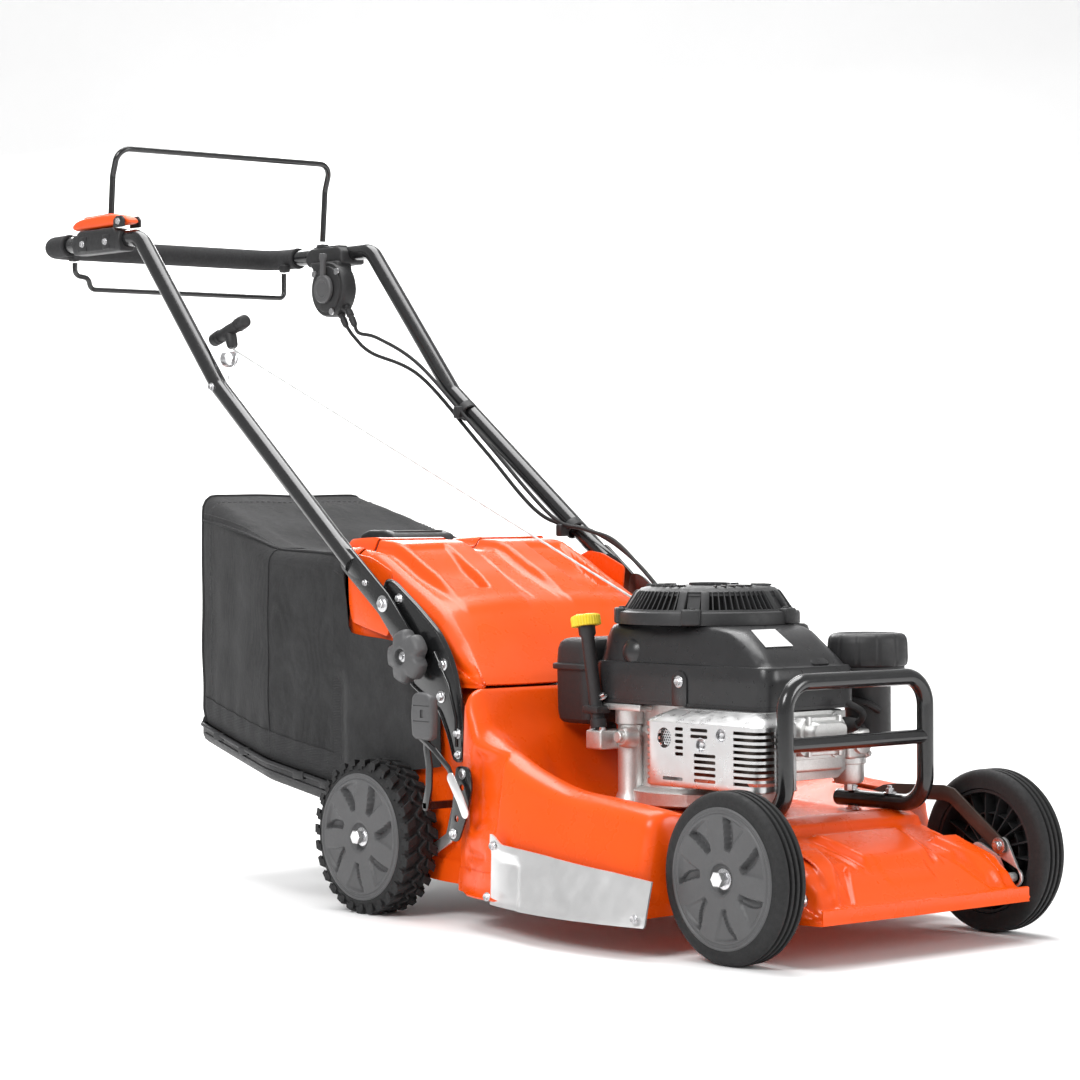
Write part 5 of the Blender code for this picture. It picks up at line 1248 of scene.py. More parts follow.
def build_filler():
    """Oil filler tube with its yellow cap."""
    low, high = Vector((-0.111, -0.35, 0.252)), Vector((-0.111, -0.327, 0.38))
    along = (high - low).normalized()
    length = (high - low).length
    pipe = turned([(0.0105, 0.0), (0.0105, 0.01), (0.0085, 0.013), (0.0085, length - 0.014),
                   (0.011, length - 0.01), (0.011, length)], low, along, 32)
    clamp = box((-0.123, -0.36, 0.27), (-0.098, -0.33, 0.28), 0.003, 2)
    piece("filler_pipe", merged(pipe, clamp), "black_plastic", "chassis", ["oil_filler_tube"], sharp=32)
    cap = turned([(0.0185, 0.0004), (0.0192, 0.0015), (0.0192, 0.0118), (0.018, 0.0138), (0.015, 0.0148),
                  (0.012, 0.0138)], high, along, 120,
                 wobble=lambda t, k: 1.0 - 0.055 * (math.cos(30 * t) > 0.1) * (1 < k < 5))
    handle = box((-0.014, -0.0028, 0.0136), (0.014, 0.0028, 0.0158), 0.001, 2)
    handle.transform(Matrix.Translation(high) @ along.to_track_quat("Z", "Y").to_matrix().to_4x4())
    piece("filler_cap", merged(cap, handle), "yellow_plastic", "oil_cap", ["oil_cap"], sharp=25)


build_recoil_cover()
build_shroud()
build_block()
build_valve_cover()
build_muffler_guard()
build_tank()
build_air_cleaner()
build_carburettor()
build_filler()


# ---------------------------------------------------------------- guard, plates and linkage
def strip(points, half, low, high, round_by=0.0006, ends=10):
    """A flat bar in the yz plane along a route of (y, z) points, with round ends."""
    points = [Vector(p) for p in points]
    sides = []
    for way in (points, points[::-1]):
        for i, point in enumerate(way):
            ahead = (way[min(i + 1, len(way) - 1)] - way[max(i - 1, 0)]).normalized()
            if 0 < i < len(way) - 1:
                first = (way[i] - way[i - 1]).normalized()
                square = Vector((-first.y, first.x))
                across = Vector((-ahead.y, ahead.x))
                sides.append(point + across * half / max(across.dot(square), 0.4))
            elif i == 0:
                sides.append(point + Vector((-ahead.y, ahead.x)) * half)
            else:
                start = math.atan2(ahead.x, -ahead.y)
                for k in range(ends + 1):
                    t = start - math.pi * k / ends
                    sides.append(point + half * Vector((math.cos(t), math.sin(t))))
    outline = [(p.x, p.y) for p in sides]
    clean = [outline[0]]
    for a, b in outline[1:]:
        if abs(a - clean[-1][0]) + abs(b - clean[-1][1]) > 1e-5:
            clean.append((a, b))
    if abs(clean[0][0] - clean[-1][0]) + abs(clean[0][1] - clean[-1][1]) < 1e-5:
        clean.pop()
    return slab(clean, min(low, high), max(low, high), "yz", round_by, 2)


def rim_of(outline, inset, x, radius, round_corner=0.008):
    """A raised bead that follows an outline a little inside its edge."""
    count = len(outline)
    middle = Vector((sum(p[0] for p in outline) / count, sum(p[1] for p in outline) / count))
    corners = []
    for i in range(count):
        before, here, after = (Vector(outline[j % count]) for j in (i - 1, i, i + 1))
        a, b = (here - before).normalized(), (after - here).normalized()
        normals = [Vector((-v.y, v.x)) for v in (a, b)]
        square = (normals[0] + normals[1]).normalized()
        turn_sign = 1 if (middle - here).dot(square) > 0 else -1
        corners.append(here + square * inset * turn_sign / max(square.dot(normals[0]), 0.5))
    ring = [Vector((x, p[0], p[1])) for p in rounded_outline([(c.x, c.y) for c in corners], 0.0,
                                                             round_corner, 4)]
    rings = []
    for i, point in enumerate(ring):
        ahead = (ring[(i + 1) % len(ring)] - ring[i - 1]).normalized()
        square = ahead.cross(Vector((1, 0, 0)))
        rings.append([point + radius * (math.cos(t) * Vector((1, 0, 0)) + math.sin(t) * square)
                      for t in [2 * math.pi * k / 8 for k in range(8)]])
    rings.append([p.copy() for p in rings[0]])
    bead = skin(rings, caps=False)
    bmesh.ops.remove_doubles(bead, verts=bead.verts, dist=1e-6)
    return bead


def build_front_guard():
    """Tube hoop in front of the engine, with its cross bar and bolts."""
    half, top, foot, y = 0.1207, 0.322, 0.1635, -0.695
    hoop = [(-half, -0.55, foot), (-half, y, foot), (-half, y, top), (half, y, top), (half, y, foot),
            (half, -0.55, foot)]
    parts = [tube(rounded_path(hoop, 0.036, 14), 0.0105, 28),
             rod((-half, y, 0.2478), (half, y, 0.2478), 0.009, 28)]
    for x in (-half, half):
        parts.append(lathe([(0.0, 0.0), (0.0105, 0.0), (0.0108, 0.001), (0.0104, 0.004), (0.0075, 0.007),
                            (0.0, 0.008)], (x, -0.55, foot), (0, 1, 0), 28, closed=False))
    piece("engine_guard", merged(*parts), "gloss_paint", "chassis", ["front_guard"], sharp=40)
    fixings = []
    for x in (-half, half):
        for bolt_y in (-0.635, -0.572):
            fixings.append(turned([(0.01, 0.149), (0.01, 0.1512), (0.0075, 0.1512), (0.0075, 0.1545)],
                                  (x, bolt_y, 0), sides=28))
            fixings.append(hex_bolt((x, bolt_y, 0.1735), (0, 0, 1), 0.0055, 0.0048, 1.5))
            fixings.append(rod((x, bolt_y, 0.177), (x, bolt_y, 0.183), 0.003, 16, 0.0005))
    piece("guard_bolts", merged(*fixings), "zinc", "chassis")


PLATE_OUTLINE = [(-0.048, 0.44), (-0.068, 0.436), (-0.118, 0.4045), (-0.163, 0.372), (-0.186, 0.342),
                 (-0.2, 0.31), (-0.213, 0.262), (-0.212, 0.232), (-0.208, 0.205), (-0.19, 0.205),
                 (-0.178, 0.236), (-0.16, 0.268), (-0.13, 0.284), (-0.1, 0.3), (-0.068, 0.36),
                 (-0.04, 0.415)]


def build_plates():
    """Side plates that carry the handle, with bead, swage and bolts."""
    for name, side in SIDES:
        smooth_edge = round_corners(PLATE_OUTLINE, 0.016, 4)
        faces = sorted((side * 0.2152, side * 0.2188))
        plate = slab(smooth_edge, *faces, "yz", 0.0008, 2)
        bead = rim_of(PLATE_OUTLINE, 0.003, side * 0.2188, 0.0022)
        swage = tube([(side * 0.219, y, z) for y, z in ((-0.196, 0.225), (-0.195, 0.262), (-0.18, 0.305),
                                                        (-0.152, 0.345))], 0.0026, 12)
        spacers = [rod((side * 0.2155, y, z), (side * inner_x, y, z), 0.006, 20)
                   for y, z, inner_x in ((-0.17, 0.33, 0.2085), (-0.08, 0.385, 0.206),
                                         (-0.16, 0.29, 0.2035))]
        piece("side_plate_" + name, merged(plate, bead, swage, *spacers), "gloss_paint", "chassis",
              ["handle_plate_" + name], sharp=35)
        seats = ((-0.17, 0.33, 0.0056), (-0.165, 0.288, 0.0056), (-0.198, 0.242, 0.0046),
                 (-0.2, 0.215, 0.004), (-0.078, 0.413, 0.0046))
        bolts = [hex_bolt((side * 0.2187, y, z), (side, 0, 0), radius, 0.0038, 1.45)
                 for y, z, radius in seats]
        piece("plate_bolts_" + name, merged(*bolts), "zinc", "chassis")


def build_quadrant():
    """Plate with the holes for the cutting height, on the right."""
    outline = [(-0.262, 0.205), (-0.236, 0.205), (-0.232, 0.178), (-0.228, 0.15), (-0.22, 0.11),
               (-0.24, 0.108), (-0.256, 0.14), (-0.268, 0.18)]
    smooth_edge = round_corners(outline, 0.008, 4)
    plate = slab(smooth_edge, -0.2525, -0.2496, "yz", 0.0005, 2)
    holes = [rod((-0.246, y, z), (-0.256, y, z), 0.0042, 24)
             for y, z in ((-0.248, 0.178), (-0.243, 0.158), (-0.237, 0.138))]
    plate = carve(plate, *holes)
    bosses = [rod((-0.2505, y, z), (-0.2445, y, z), 0.005, 20)
              for y, z in ((-0.246, 0.196), (-0.231, 0.118))]
    piece("height_plate", merged(plate, *bosses), "gloss_paint", "chassis", ["height_quadrant"], sharp=35)
    bolts = [hex_bolt((-0.2524, y, z), (-1, 0, 0), 0.0048, height, 1.4)
             for y, z, height in ((-0.2495, 0.1955, 0.0012), (-0.231, 0.1185, 0.0036))]
    piece("height_plate_bolts", merged(*bolts), "zinc", "chassis")


def build_rear_axle():
    """Rear axle with cranks, and the height lever with pointer and grip."""
    axle = (0.0, REAR_AXLE_Y, WHEEL_RADIUS)
    pivot = REAR_PIVOT
    parts = [rod((-0.2065, pivot.y, pivot.z), (0.2065, pivot.y, pivot.z), 0.006, 24, 0.0008)]
    parts.append(rod((-0.268, axle[1], axle[2]), (0.268, axle[1], axle[2]), 0.006, 24, 0.0008))
    for _, side in SIDES:
        parts.append(strip([(pivot.y, pivot.z), (axle[1], axle[2])], 0.011, side * 0.2042, side * 0.2078))
        parts.append(turned([(0.0095, 0.2658), (0.0095, 0.2715), (0.0082, 0.2728)], axle, (side, 0, 0), 6))
    parts.append(strip([(pivot.y, pivot.z), (pivot.y + 0.02, pivot.z + 0.0375)], 0.01, 0.192, 0.1955))
    parts.append(rod((0.187, pivot.y + 0.02, pivot.z + 0.0375), (0.195, pivot.y + 0.02, pivot.z + 0.0375),
                     0.004, 18))
    parts.append(strip([(pivot.y, pivot.z), (-0.165, 0.105), (-0.18, 0.15)], 0.007, -0.2078, -0.2042))
    piece("rear_axle_frame", merged(*parts), "satin_metal", "rear_crank", ["rear_axle"], sharp=35)
    arm = [box((-0.26, -0.186, 0.146), (-0.2042, -0.176, 0.156), 0.0015),
           strip([(-0.182, 0.15), (-0.189, 0.175), (-0.19, 0.2), (-0.185, 0.225), (-0.184, 0.245)], 0.006,
                 -0.26, -0.257), strip([(-0.176, 0.238), (-0.205, 0.223), (-0.233, 0.202), (-0.244, 0.183)],
                                       0.004, -0.2625, -0.2603)]
    piece("height_lever_arm", merged(*arm), "gloss_paint", "rear_crank", sharp=35)
    pointer = strip([(-0.24, 0.19), (-0.248, 0.179), (-0.259, 0.164), (-0.268, 0.148)], 0.0072, -0.2644,
                    -0.2628)
    piece("height_pointer", pointer, "satin_metal", "rear_crank", sharp=35)
    block = slab([(-0.165, 0.24), (-0.163, 0.268), (-0.166, 0.292), (-0.174, 0.2965), (-0.196, 0.295),
                  (-0.205, 0.29), (-0.2065, 0.265), (-0.205, 0.238), (-0.196, 0.235), (-0.172, 0.236)],
                 -0.269, -0.255, "yz", 0.0045, 4)
    grooves = [box((-0.27, -0.203, 0.279), (-0.2678, -0.17, 0.2802)),
               box((-0.27, -0.203, 0.259), (-0.2678, -0.17, 0.2602)),
               box((-0.27, -0.191, 0.264), (-0.267, -0.184, 0.274))]
    piece("height_lever_grip", carve(block, *grooves), "grey_plastic", "rear_crank",
          sharp=40)


def build_front_crank():
    """Front pivot with its two cranks and the bolt of the link bar."""
    pivot = FRONT_PIVOT
    axle = Vector((0.0, FRONT_AXLE_Y, WHEEL_RADIUS))
    pin = pivot + CRANK_PIN
    parts = [rod((-0.195, pivot.y, pivot.z), (0.195, pivot.y, pivot.z), 0.006, 24, 0.0008)]
    for _, side in SIDES:
        parts.append(strip([(pivot.y, pivot.z), (axle.y, axle.z)], 0.012, side * 0.193, side * 0.197))
        parts.append(rod((side * 0.195, axle.y, axle.z), (side * 0.25, axle.y, axle.z), 0.006, 24, 0.0008))
        parts.append(turned([(0.0095, 0.2466), (0.0095, 0.2526), (0.0082, 0.2539)], axle, (side, 0, 0), 6))
    parts.append(strip([(pivot.y, pivot.z), (pin.y, pin.z)], 0.01, 0.193, 0.197))
    piece("front_axle_frame", merged(*parts), "satin_metal", "front_crank", ["front_crank"], sharp=35)
    fixing = [rod((0.18, pin.y, pin.z), (0.195, pin.y, pin.z), 0.004, 20),
              hex_bolt((0.1972, pin.y, pin.z), (1, 0, 0), 0.0058, 0.0045, 1.5),
              hex_bolt((0.1872, pin.y, pin.z), (-1, 0, 0), 0.006, 0.0048, 1.7)]
    piece("link_bolt", merged(*fixing), "zinc", "front_crank")


def build_link():
    """Flat bar that joins the front and rear cranks."""
    front, rear = FRONT_PIVOT + CRANK_PIN, REAR_PIVOT + CRANK_PIN
    route = [(front.y, front.z), (-0.69, 0.159), (-0.676, 0.169), (-0.662, 0.1715), (-0.58, 0.1685),
             (-0.562, 0.166), (-0.512, 0.145), (-0.494, 0.1415), (-0.15, 0.138), (rear.y, rear.z)]
    bar = strip(route, 0.0095, 0.188, 0.1915, 0.0005)
    for pin in (front, rear):
        bar = carve(bar, rod((0.18, pin.y, pin.z), (0.2, pin.y, pin.z), 0.0048, 24))
    piece("height_link", bar, "brown_steel", "link_bar", ["link_bar"], sharp=35)


def build_flap():
    """Orange flap over the discharge opening, in the profile of the rear cover."""
    profile = [cover_relief(p) for p in cover_outline(0.06)]
    profile = [p for p in profile if p.z > 0.465]
    profile += [Vector((-p.x, p.y, p.z)) for p in reversed(profile[:-1])]
    rows = []
    for y, lift in ((0.0618, 0.002), (0.064, 0.0026), (0.07, 0.003), (0.085, 0.0026), (0.105, 0.0016),
                    (0.12, 0.0006), (0.1245, -0.001)):
        rows.append([Vector((p.x * 1.01, y, p.z + lift)) for p in profile])
    parts = [shell(rows, thickened(rows, 0.0022))]
    cheek = [(-0.036, 0.361), (0.043, 0.379), (0.049, 0.4), (0.051, 0.44), (0.052, 0.462), (0.03, 0.47),
             (0.0, 0.466), (-0.046, 0.448)]
    for _, side in SIDES:
        faces = sorted((side * 0.2036, side * 0.2062))
        smooth_edge = round_corners(cheek, 0.007, 4)
        parts.append(slab(smooth_edge, *faces, "yz", 0.0006))
    piece("rear_flap", merged(*parts), "orange_paint", "discharge_flap", ["discharge_flap"], sharp=32)
    hinge = rod((-0.17, 0.064, 0.464), (0.17, 0.064, 0.464), 0.0024, 18)
    piece("flap_hinge", merged(hinge), "zinc", "discharge_flap")


build_front_guard()
build_plates()
build_quadrant()
build_rear_axle()
build_front_crank()
build_link()
build_flap()


# ---------------------------------------------------------------- handle and controls
HANDLE_REAR_Y, HANDLE_BEND = 0.80105, (0.545, 0.928)


def handle_route():
    """Corners of the handle tube."""
    bend_y, bend_z = HANDLE_BEND
    right = [(-0.2245, 0.014, 0.456), (-HANDLE_X, 0.345, 0.7033), (-HANDLE_X, bend_y, bend_z),
             (-HANDLE_X, HANDLE_REAR_Y, bend_z)]
    return right + [(-x, y, z) for x, y, z in reversed(right)]


def flattened(path, side):
    """The tube pressed flat towards its end plate: taller in the yz plane and thinner along x."""
    rings = []
    for k, point in enumerate(path):
        t = smooth_step(k / (len(path) - 1), 0.0, 1.0)
        along = (Vector(path[min(k + 1, len(path) - 1)]) - Vector(path[max(k - 1, 0)])).normalized()
        tall = along.cross(Vector((1, 0, 0))).normalized()
        rings.append([Vector(point) + tall * (HANDLE_RADIUS * (1.0 + 0.34 * t)) * math.cos(a) + Vector((side,
                0, 0)) * (HANDLE_RADIUS * (1.0 - 0.78 * t)) * math.sin(a)
                      for a in [2 * math.pi * i / 32 for i in range(32)]])
    return skin(rings)


def build_handlebar():
    """Handle tube, flattened at its lower ends."""
    parts = [tube(rounded_path(handle_route(), 0.032, 12), HANDLE_RADIUS, 32)]
    for _, side in SIDES:
        faces = sorted((side * 0.224, side * 0.229))
        parts.append(strip([(0.022, 0.462), (-0.055, 0.406), (FOLD_AXIS.y, FOLD_AXIS.z)], 0.0165, *faces,
                           0.0012))
        swage = [(side * (0.2225 + 0.0038 * k / 10), 0.05 - 0.0066 * k, 0.4829 - 0.0049 * k)
                 for k in range(11)]
        parts.append(flattened(swage, side))
    piece("handle_tube", merged(*parts), "gloss_paint", "handle", ["handlebar"], sharp=38)
    bolts = []
    for _, side in SIDES:
        bolts.append(hex_bolt((side * 0.2292, -0.055, 0.406), (side, 0, 0), 0.0065, 0.005, 1.7))
        bolts.append(hex_bolt((side * 0.2292, -0.018, 0.433), (side, 0, 0), 0.0036, 0.0026, 1.2))
        bolts.append(hex_bolt((side * 0.224, 0.345, 0.7033), (side, 0, 0), 0.0045, 0.0035, 1.3))
    piece("handle_bolts", merged(*bolts), "zinc", "handle")


def build_grip():
    """Foam sleeve on the top of the handle."""
    bend_z = HANDLE_BEND[1]
    route = rounded_path([(-HANDLE_X, 0.735, bend_z), (-HANDLE_X, HANDLE_REAR_Y, bend_z),
                          (HANDLE_X, HANDLE_REAR_Y, bend_z), (HANDLE_X, 0.735, bend_z)], 0.032, 14)
    outer = tube(route, 0.016, 32)
    rolls = []
    for end, way in ((route[0], (0, 1, 0)), (route[-1], (0, 1, 0))):
        rolls.append(lathe([(0.0128, 0.0), (0.015, -0.0006), (0.0165, 0.001), (0.0168, 0.0035),
                            (0.016, 0.006), (0.0128, 0.006)], end, way, 32))
    sleeve = piece("grip_sleeve", merged(outer, *rolls), "foam", "handle", ["grip"], sharp=50)


def build_lever_mount():
    """Mount of the lock lever on the handle."""
    base = slab([(0.586, 0.912), (0.69, 0.912), (0.694, 0.92), (0.692, 0.943), (0.684, 0.9452),
                 (0.594, 0.9452), (0.586, 0.939)], -0.2285, -0.2003, "yz", 0.0035, 3)
    ears = [box((-0.23, y - 0.009, 0.914), (-0.2265, y + 0.009, 0.936), 0.0015, 2) for y in (0.61, 0.672)]
    saddle = slab([(-0.226, 0.91), (-0.202, 0.91), (-0.1985, 0.924), (-0.201, 0.94), (-0.227, 0.94),
                   (-0.23, 0.924)], 0.576, 0.704, "xz", 0.003, 3)
    pivot = [slab([(0.562, 0.944), (0.59, 0.944), (0.59, 0.956), (0.582, 0.961), (0.568, 0.961),
                   (0.562, 0.955)], *faces, "yz", 0.0015, 2)
             for faces in ((-0.201, -0.1975), (-0.2295, -0.2258))]
    piece("lever_base", merged(base, saddle, *ears, *pivot), "black_plastic", "handle", ["lever_mount"],
          sharp=35)
    screws = [hex_bolt((-0.2302, y, 0.925), (-1, 0, 0), 0.0042, 0.0026, 1.2) for y in (0.61, 0.672)]
    screws += [hex_bolt((-0.2298, 0.575, 0.9525), (-1, 0, 0), 0.004, 0.0026, 1.2)]
    piece("lever_screws", merged(*screws), "zinc", "handle")


def build_lock_lever():
    """Orange lever that frees the handle."""
    rows = []
    for y, low, high, half in ((0.5585, 0.95, 0.954, 0.0075), (0.564, 0.9488, 0.9575, 0.01),
                               (0.575, 0.948, 0.962, 0.011), (0.6, 0.9476, 0.9658, 0.0115),
                               (0.635, 0.9472, 0.9664, 0.0122), (0.67, 0.9468, 0.9652, 0.0122),
                               (0.69, 0.9466, 0.9636, 0.0116), (0.704, 0.947, 0.9606, 0.0104),
                               (0.712, 0.949, 0.957, 0.0082), (0.714, 0.951, 0.9545, 0.006)):
        middle, x0 = (low + high) / 2, -0.2135
        ring = []
        for i in range(28):
            t = 2 * math.pi * i / 28
            c, s = math.cos(t), math.sin(t)
            ring.append(Vector((x0 + half * math.copysign(abs(c) ** 0.55, c), y,
                                middle + (high - low) / 2 * math.copysign(abs(s) ** 0.7, s))))
        rows.append(ring)
    body = skin(rows)
    pad = slab([(0.612, 0.9655), (0.684, 0.964), (0.684, 0.9662), (0.612, 0.9674)], -0.22, -0.207, "yz",
               0.0008, 2)
    piece("lock_handle", merged(body, pad), "orange_plastic", "lock_lever", ["lock_lever"], sharp=35)


def build_control():
    """Throttle box on the handle, with its lever."""
    box_part = slab([(0.586, 0.91), (0.676, 0.9085), (0.684, 0.918), (0.68, 0.934), (0.668, 0.9378),
                     (0.598, 0.9378), (0.588, 0.93)], 0.185, 0.23, "yz", 0.004, 3)
    lid = box((0.189, 0.6, 0.936), (0.226, 0.666, 0.94), 0.0015, 2)
    drum = lathe([(0.0, 0.1722), (0.033, 0.1722), (0.035, 0.173), (0.036, 0.175), (0.0405, 0.1752),
                  (0.0425, 0.1775), (0.043, 0.18), (0.043, 0.196), (0.0415, 0.2), (0.034, 0.203),
                  (0.032, 0.2075), (0.0, 0.208)], (0, 0.612, 0.871), (1, 0, 0), 72, closed=False)
    neck = slab([(0.586, 0.9), (0.598, 0.878), (0.64, 0.88), (0.664, 0.915), (0.59, 0.915)], 0.178, 0.206,
                "yz", 0.004, 3)
    chin = slab([(0.572, 0.852), (0.62, 0.835), (0.612, 0.858), (0.582, 0.87)], 0.181, 0.2, "yz", 0.003, 3)
    parts = [box_part, lid, drum, neck, chin]
    for dy in (0.0, 0.022):
        start, end = Vector((0.19, 0.585 + dy, 0.85)), Vector((0.19, 0.56 + dy, 0.812))
        along = end - start
        length = along.length
        parts.append(turned([(0.006, 0.0), (0.006, length * 0.28), (0.005, length * 0.3),
                             (0.005, length * 0.36), (0.006, length * 0.38), (0.006, length * 0.56),
                             (0.0045, length * 0.6), (0.0045, length * 0.66), (0.0055, length * 0.68),
                             (0.005, length * 0.92), (0.0035, length)], start, along, 20))
    ring_bolts = [turned([(0.0052, -0.001), (0.0052, 0.0016)],
                         (0.1724, 0.612 + 0.0385 * math.cos(t), 0.871 + 0.0385 * math.sin(t)), (-1, 0, 0),
                         18) for t in (0.7, 2.4, 4.3)]
    piece("control_housing", merged(*parts), "black_plastic", "handle", ["control_box"], sharp=35)
    piece("control_screws", merged(*ring_bolts), "zinc", "handle")
    dial = turned([(0.0205, 0.0002), (0.022, 0.0015), (0.022, 0.0055), (0.02, 0.0075), (0.015, 0.008),
                   (0.013, 0.0066)], (0.1715, 0.612, 0.871), (-1, 0, 0), 60)
    arm = slab([(0.6065, 0.88), (0.6175, 0.88), (0.6165, 0.913), (0.6195, 0.92), (0.618, 0.9262),
                (0.606, 0.9262), (0.6045, 0.92), (0.6075, 0.913)], 0.1645, 0.1705, "yz", 0.0014, 2)
    piece("throttle_dial", merged(dial, arm), "grey_plastic", "throttle_lever", ["throttle_lever"], sharp=35)


def build_bails():
    """The two wire bails above the handle."""
    loop = [(-0.195, 0.65, 0.948), (-0.195, 0.643, 1.027), (-0.195, 0.628, 1.0665), (0.195, 0.628, 1.0665),
            (0.195, 0.643, 1.027), (0.195, 0.65, 0.948)]
    piece("stop_bar", tube(rounded_path(loop, 0.026, 12), 0.0045, 20), "gloss_paint", "blade_bail",
          ["blade_bail"], sharp=40)
    y, z = 0.752, 0.904
    loop = [(-0.1935, y, z), (-0.1935, y, 0.885), (-0.17, y, 0.882), (-0.166, y, 0.865), (0.1935, y, 0.865),
            (0.1935, y, z)]
    piece("drive_bar", tube(rounded_path(loop, 0.01, 10), 0.004, 18), "gloss_paint", "drive_bail",
          ["drive_bail"], sharp=40)
    for x, side in ((-0.195, "right"), (0.195, "left")):
        seat = box((x - 0.0075, 0.642, 0.934), (x + 0.0075, 0.658, 0.944), 0.0025, 2)
        clip = box((x - 0.006, 0.744, 0.906), (x + 0.006, 0.76, 0.918), 0.0025, 2)
        piece("bail_seat_" + side, merged(seat, clip), "black_plastic", "handle")


def build_knobs():
    """Star knobs that clamp the handle."""
    def star(t, k):
        return 1.0 - (0.2 if 2 <= k <= 6 else 0.12 if k == 7 else 0.0) * max(0.0, -math.cos(5 * t)) ** 1.5
    for name, side in SIDES:
        start = FOLD_AXIS + Vector((side * 0.2295, 0, 0))
        knob = turned([(0.024, 0.0), (0.0335, 0.002), (0.0352, 0.006), (0.0356, 0.012), (0.0335, 0.017),
                       (0.029, 0.02), (0.02, 0.0222), (0.015, 0.0232), (0.0125, 0.0236), (0.0108, 0.0228),
                       (0.01, 0.017)], start, (side, 0, 0), 120, wobble=star)
        piece("star_knob_" + name, knob, "grey_plastic", "knob_" + name, ["knob_" + name], sharp=40)
        bolt = merged(rod(start + Vector((side * 0.002, 0, 0)), FOLD_AXIS + Vector((side * 0.2108, 0, 0)),
                          0.0045, 18),
                      lathe([(0.0, 0.0165), (0.0068, 0.0165), (0.0068, 0.0185), (0.0034, 0.019),
                             (0.0034, 0.0215), (0.0, 0.0222)], start, (side, 0, 0), 24, closed=False))
        piece("knob_stud_" + name, bolt, "zinc", "knob_" + name)


def build_starter():
    """Starter handle, its guide and the rope."""
    low = Vector((-0.18, 0.356, 0.76))
    along = Vector((0.0, 0.3, 0.954)).normalized()
    across = along.cross(Vector((1, 0, 0)))
    neck = lathe([(0.0, 0.0), (0.006, 0.0), (0.0078, 0.003), (0.0085, 0.01), (0.0088, 0.022), (0.0, 0.024)],
                 low, along, 28, closed=False)
    middle = low + along * 0.026
    profile = [(0.0, -0.043), (0.007, -0.043), (0.0092, -0.0412), (0.0098, -0.037), (0.0092, -0.024),
               (0.0086, -0.012), (0.009, 0.0), (0.0086, 0.012), (0.0092, 0.024), (0.0098, 0.037),
               (0.0092, 0.0412), (0.007, 0.043), (0.0, 0.043)]
    bar = lathe(profile, middle, across, 28, closed=False)
    beads = [lathe([(0.008, d - 0.0014), (0.0101, d - 0.0008), (0.0101, d + 0.0008), (0.008, d + 0.0014)],
                   middle, across, 28) for d in (-0.031, -0.024, 0.024, 0.031)]
    piece("pull_handle", merged(neck, bar, *beads), "black_plastic", "starter_handle", ["starter_handle"],
          sharp=40)
    start, end = Vector((-0.18, 0.355, 0.758)), Vector((-0.02, -0.316, 0.413))
    steps = 400
    way = (end - start).normalized()
    first, second = square_to(way)
    rings = []
    for k in range(steps + 1):
        centre = start.lerp(end, k / steps)
        spin = k * 0.55
        rings.append([centre + 0.0015 * (1.0 + 0.16 * math.cos(3 * t - spin)) * (math.cos(t) * first
                + math.sin(t) * second) for t in [2 * math.pi * i / 12 for i in range(12)]])
    rope = piece("pull_rope", skin(rings), "rope", None, ["starter_rope"], sharp=60)
    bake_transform(rope)
    spare_low, spare_high = low - along * 0.002, low + along * 0.012
    spare = piece("pull_rope_spare", tube([spare_low.lerp(spare_high, k / 48) for k in range(49)], 0.0014,
                                          12), "rope", None, sharp=60)
    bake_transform(spare)
    coil = []
    turns = 5
    centre = Vector((-0.192, 0.349, 0.744))
    for i in range(turns * 16 + 1):
        t = 2 * math.pi * i / 16
        coil.append(centre + Vector((0.003 + 0.0105 * math.cos(t), 0.0014 * i / 8 - 0.004,
                                     0.0105 * math.sin(t))))
    tail = [Vector((-0.206, 0.332, 0.706)), Vector((-0.201, 0.336, 0.72)), Vector((-0.186, 0.343, 0.735))]
    piece("rope_eye", tube(spline(tail + coil[2:], 2), 0.0013, 8), "zinc", "handle")


def cable_routes():
    """Routes of the throttle and brake cables, as listed points."""
    def beside(y, x, drop):
        return (x, y + 0.5985 * drop, 0.456 + (y - 0.014) * 0.5985 / 0.801 - 0.801 * drop)
    return {"throttle": [(0.19, 0.562, 0.815), (0.1902, 0.55, 0.801), (0.1905, 0.5, 0.79),
                         beside(0.4, 0.1925, 0.0), beside(0.25, 0.1925, 0.0), beside(0.1, 0.1925, 0.0),
                         (0.188, 0.02, 0.5), (0.17, -0.06, 0.486), (0.14, -0.15, 0.45), (0.118, -0.24, 0.4),
                         (0.108, -0.33, 0.35), (0.105, -0.39, 0.325)],
            "brake": [(0.19, 0.584, 0.815), (0.1925, 0.566, 0.796), (0.1985, 0.53, 0.77),
                      beside(0.4, 0.201, 0.0185), beside(0.25, 0.201, 0.0185), beside(0.12, 0.199, 0.017),
                      (0.2, 0.02, 0.498), (0.185, -0.07, 0.468), (0.16, -0.16, 0.425), (0.13, -0.25, 0.37),
                      (0.112, -0.33, 0.318), (0.105, -0.39, 0.299)],}


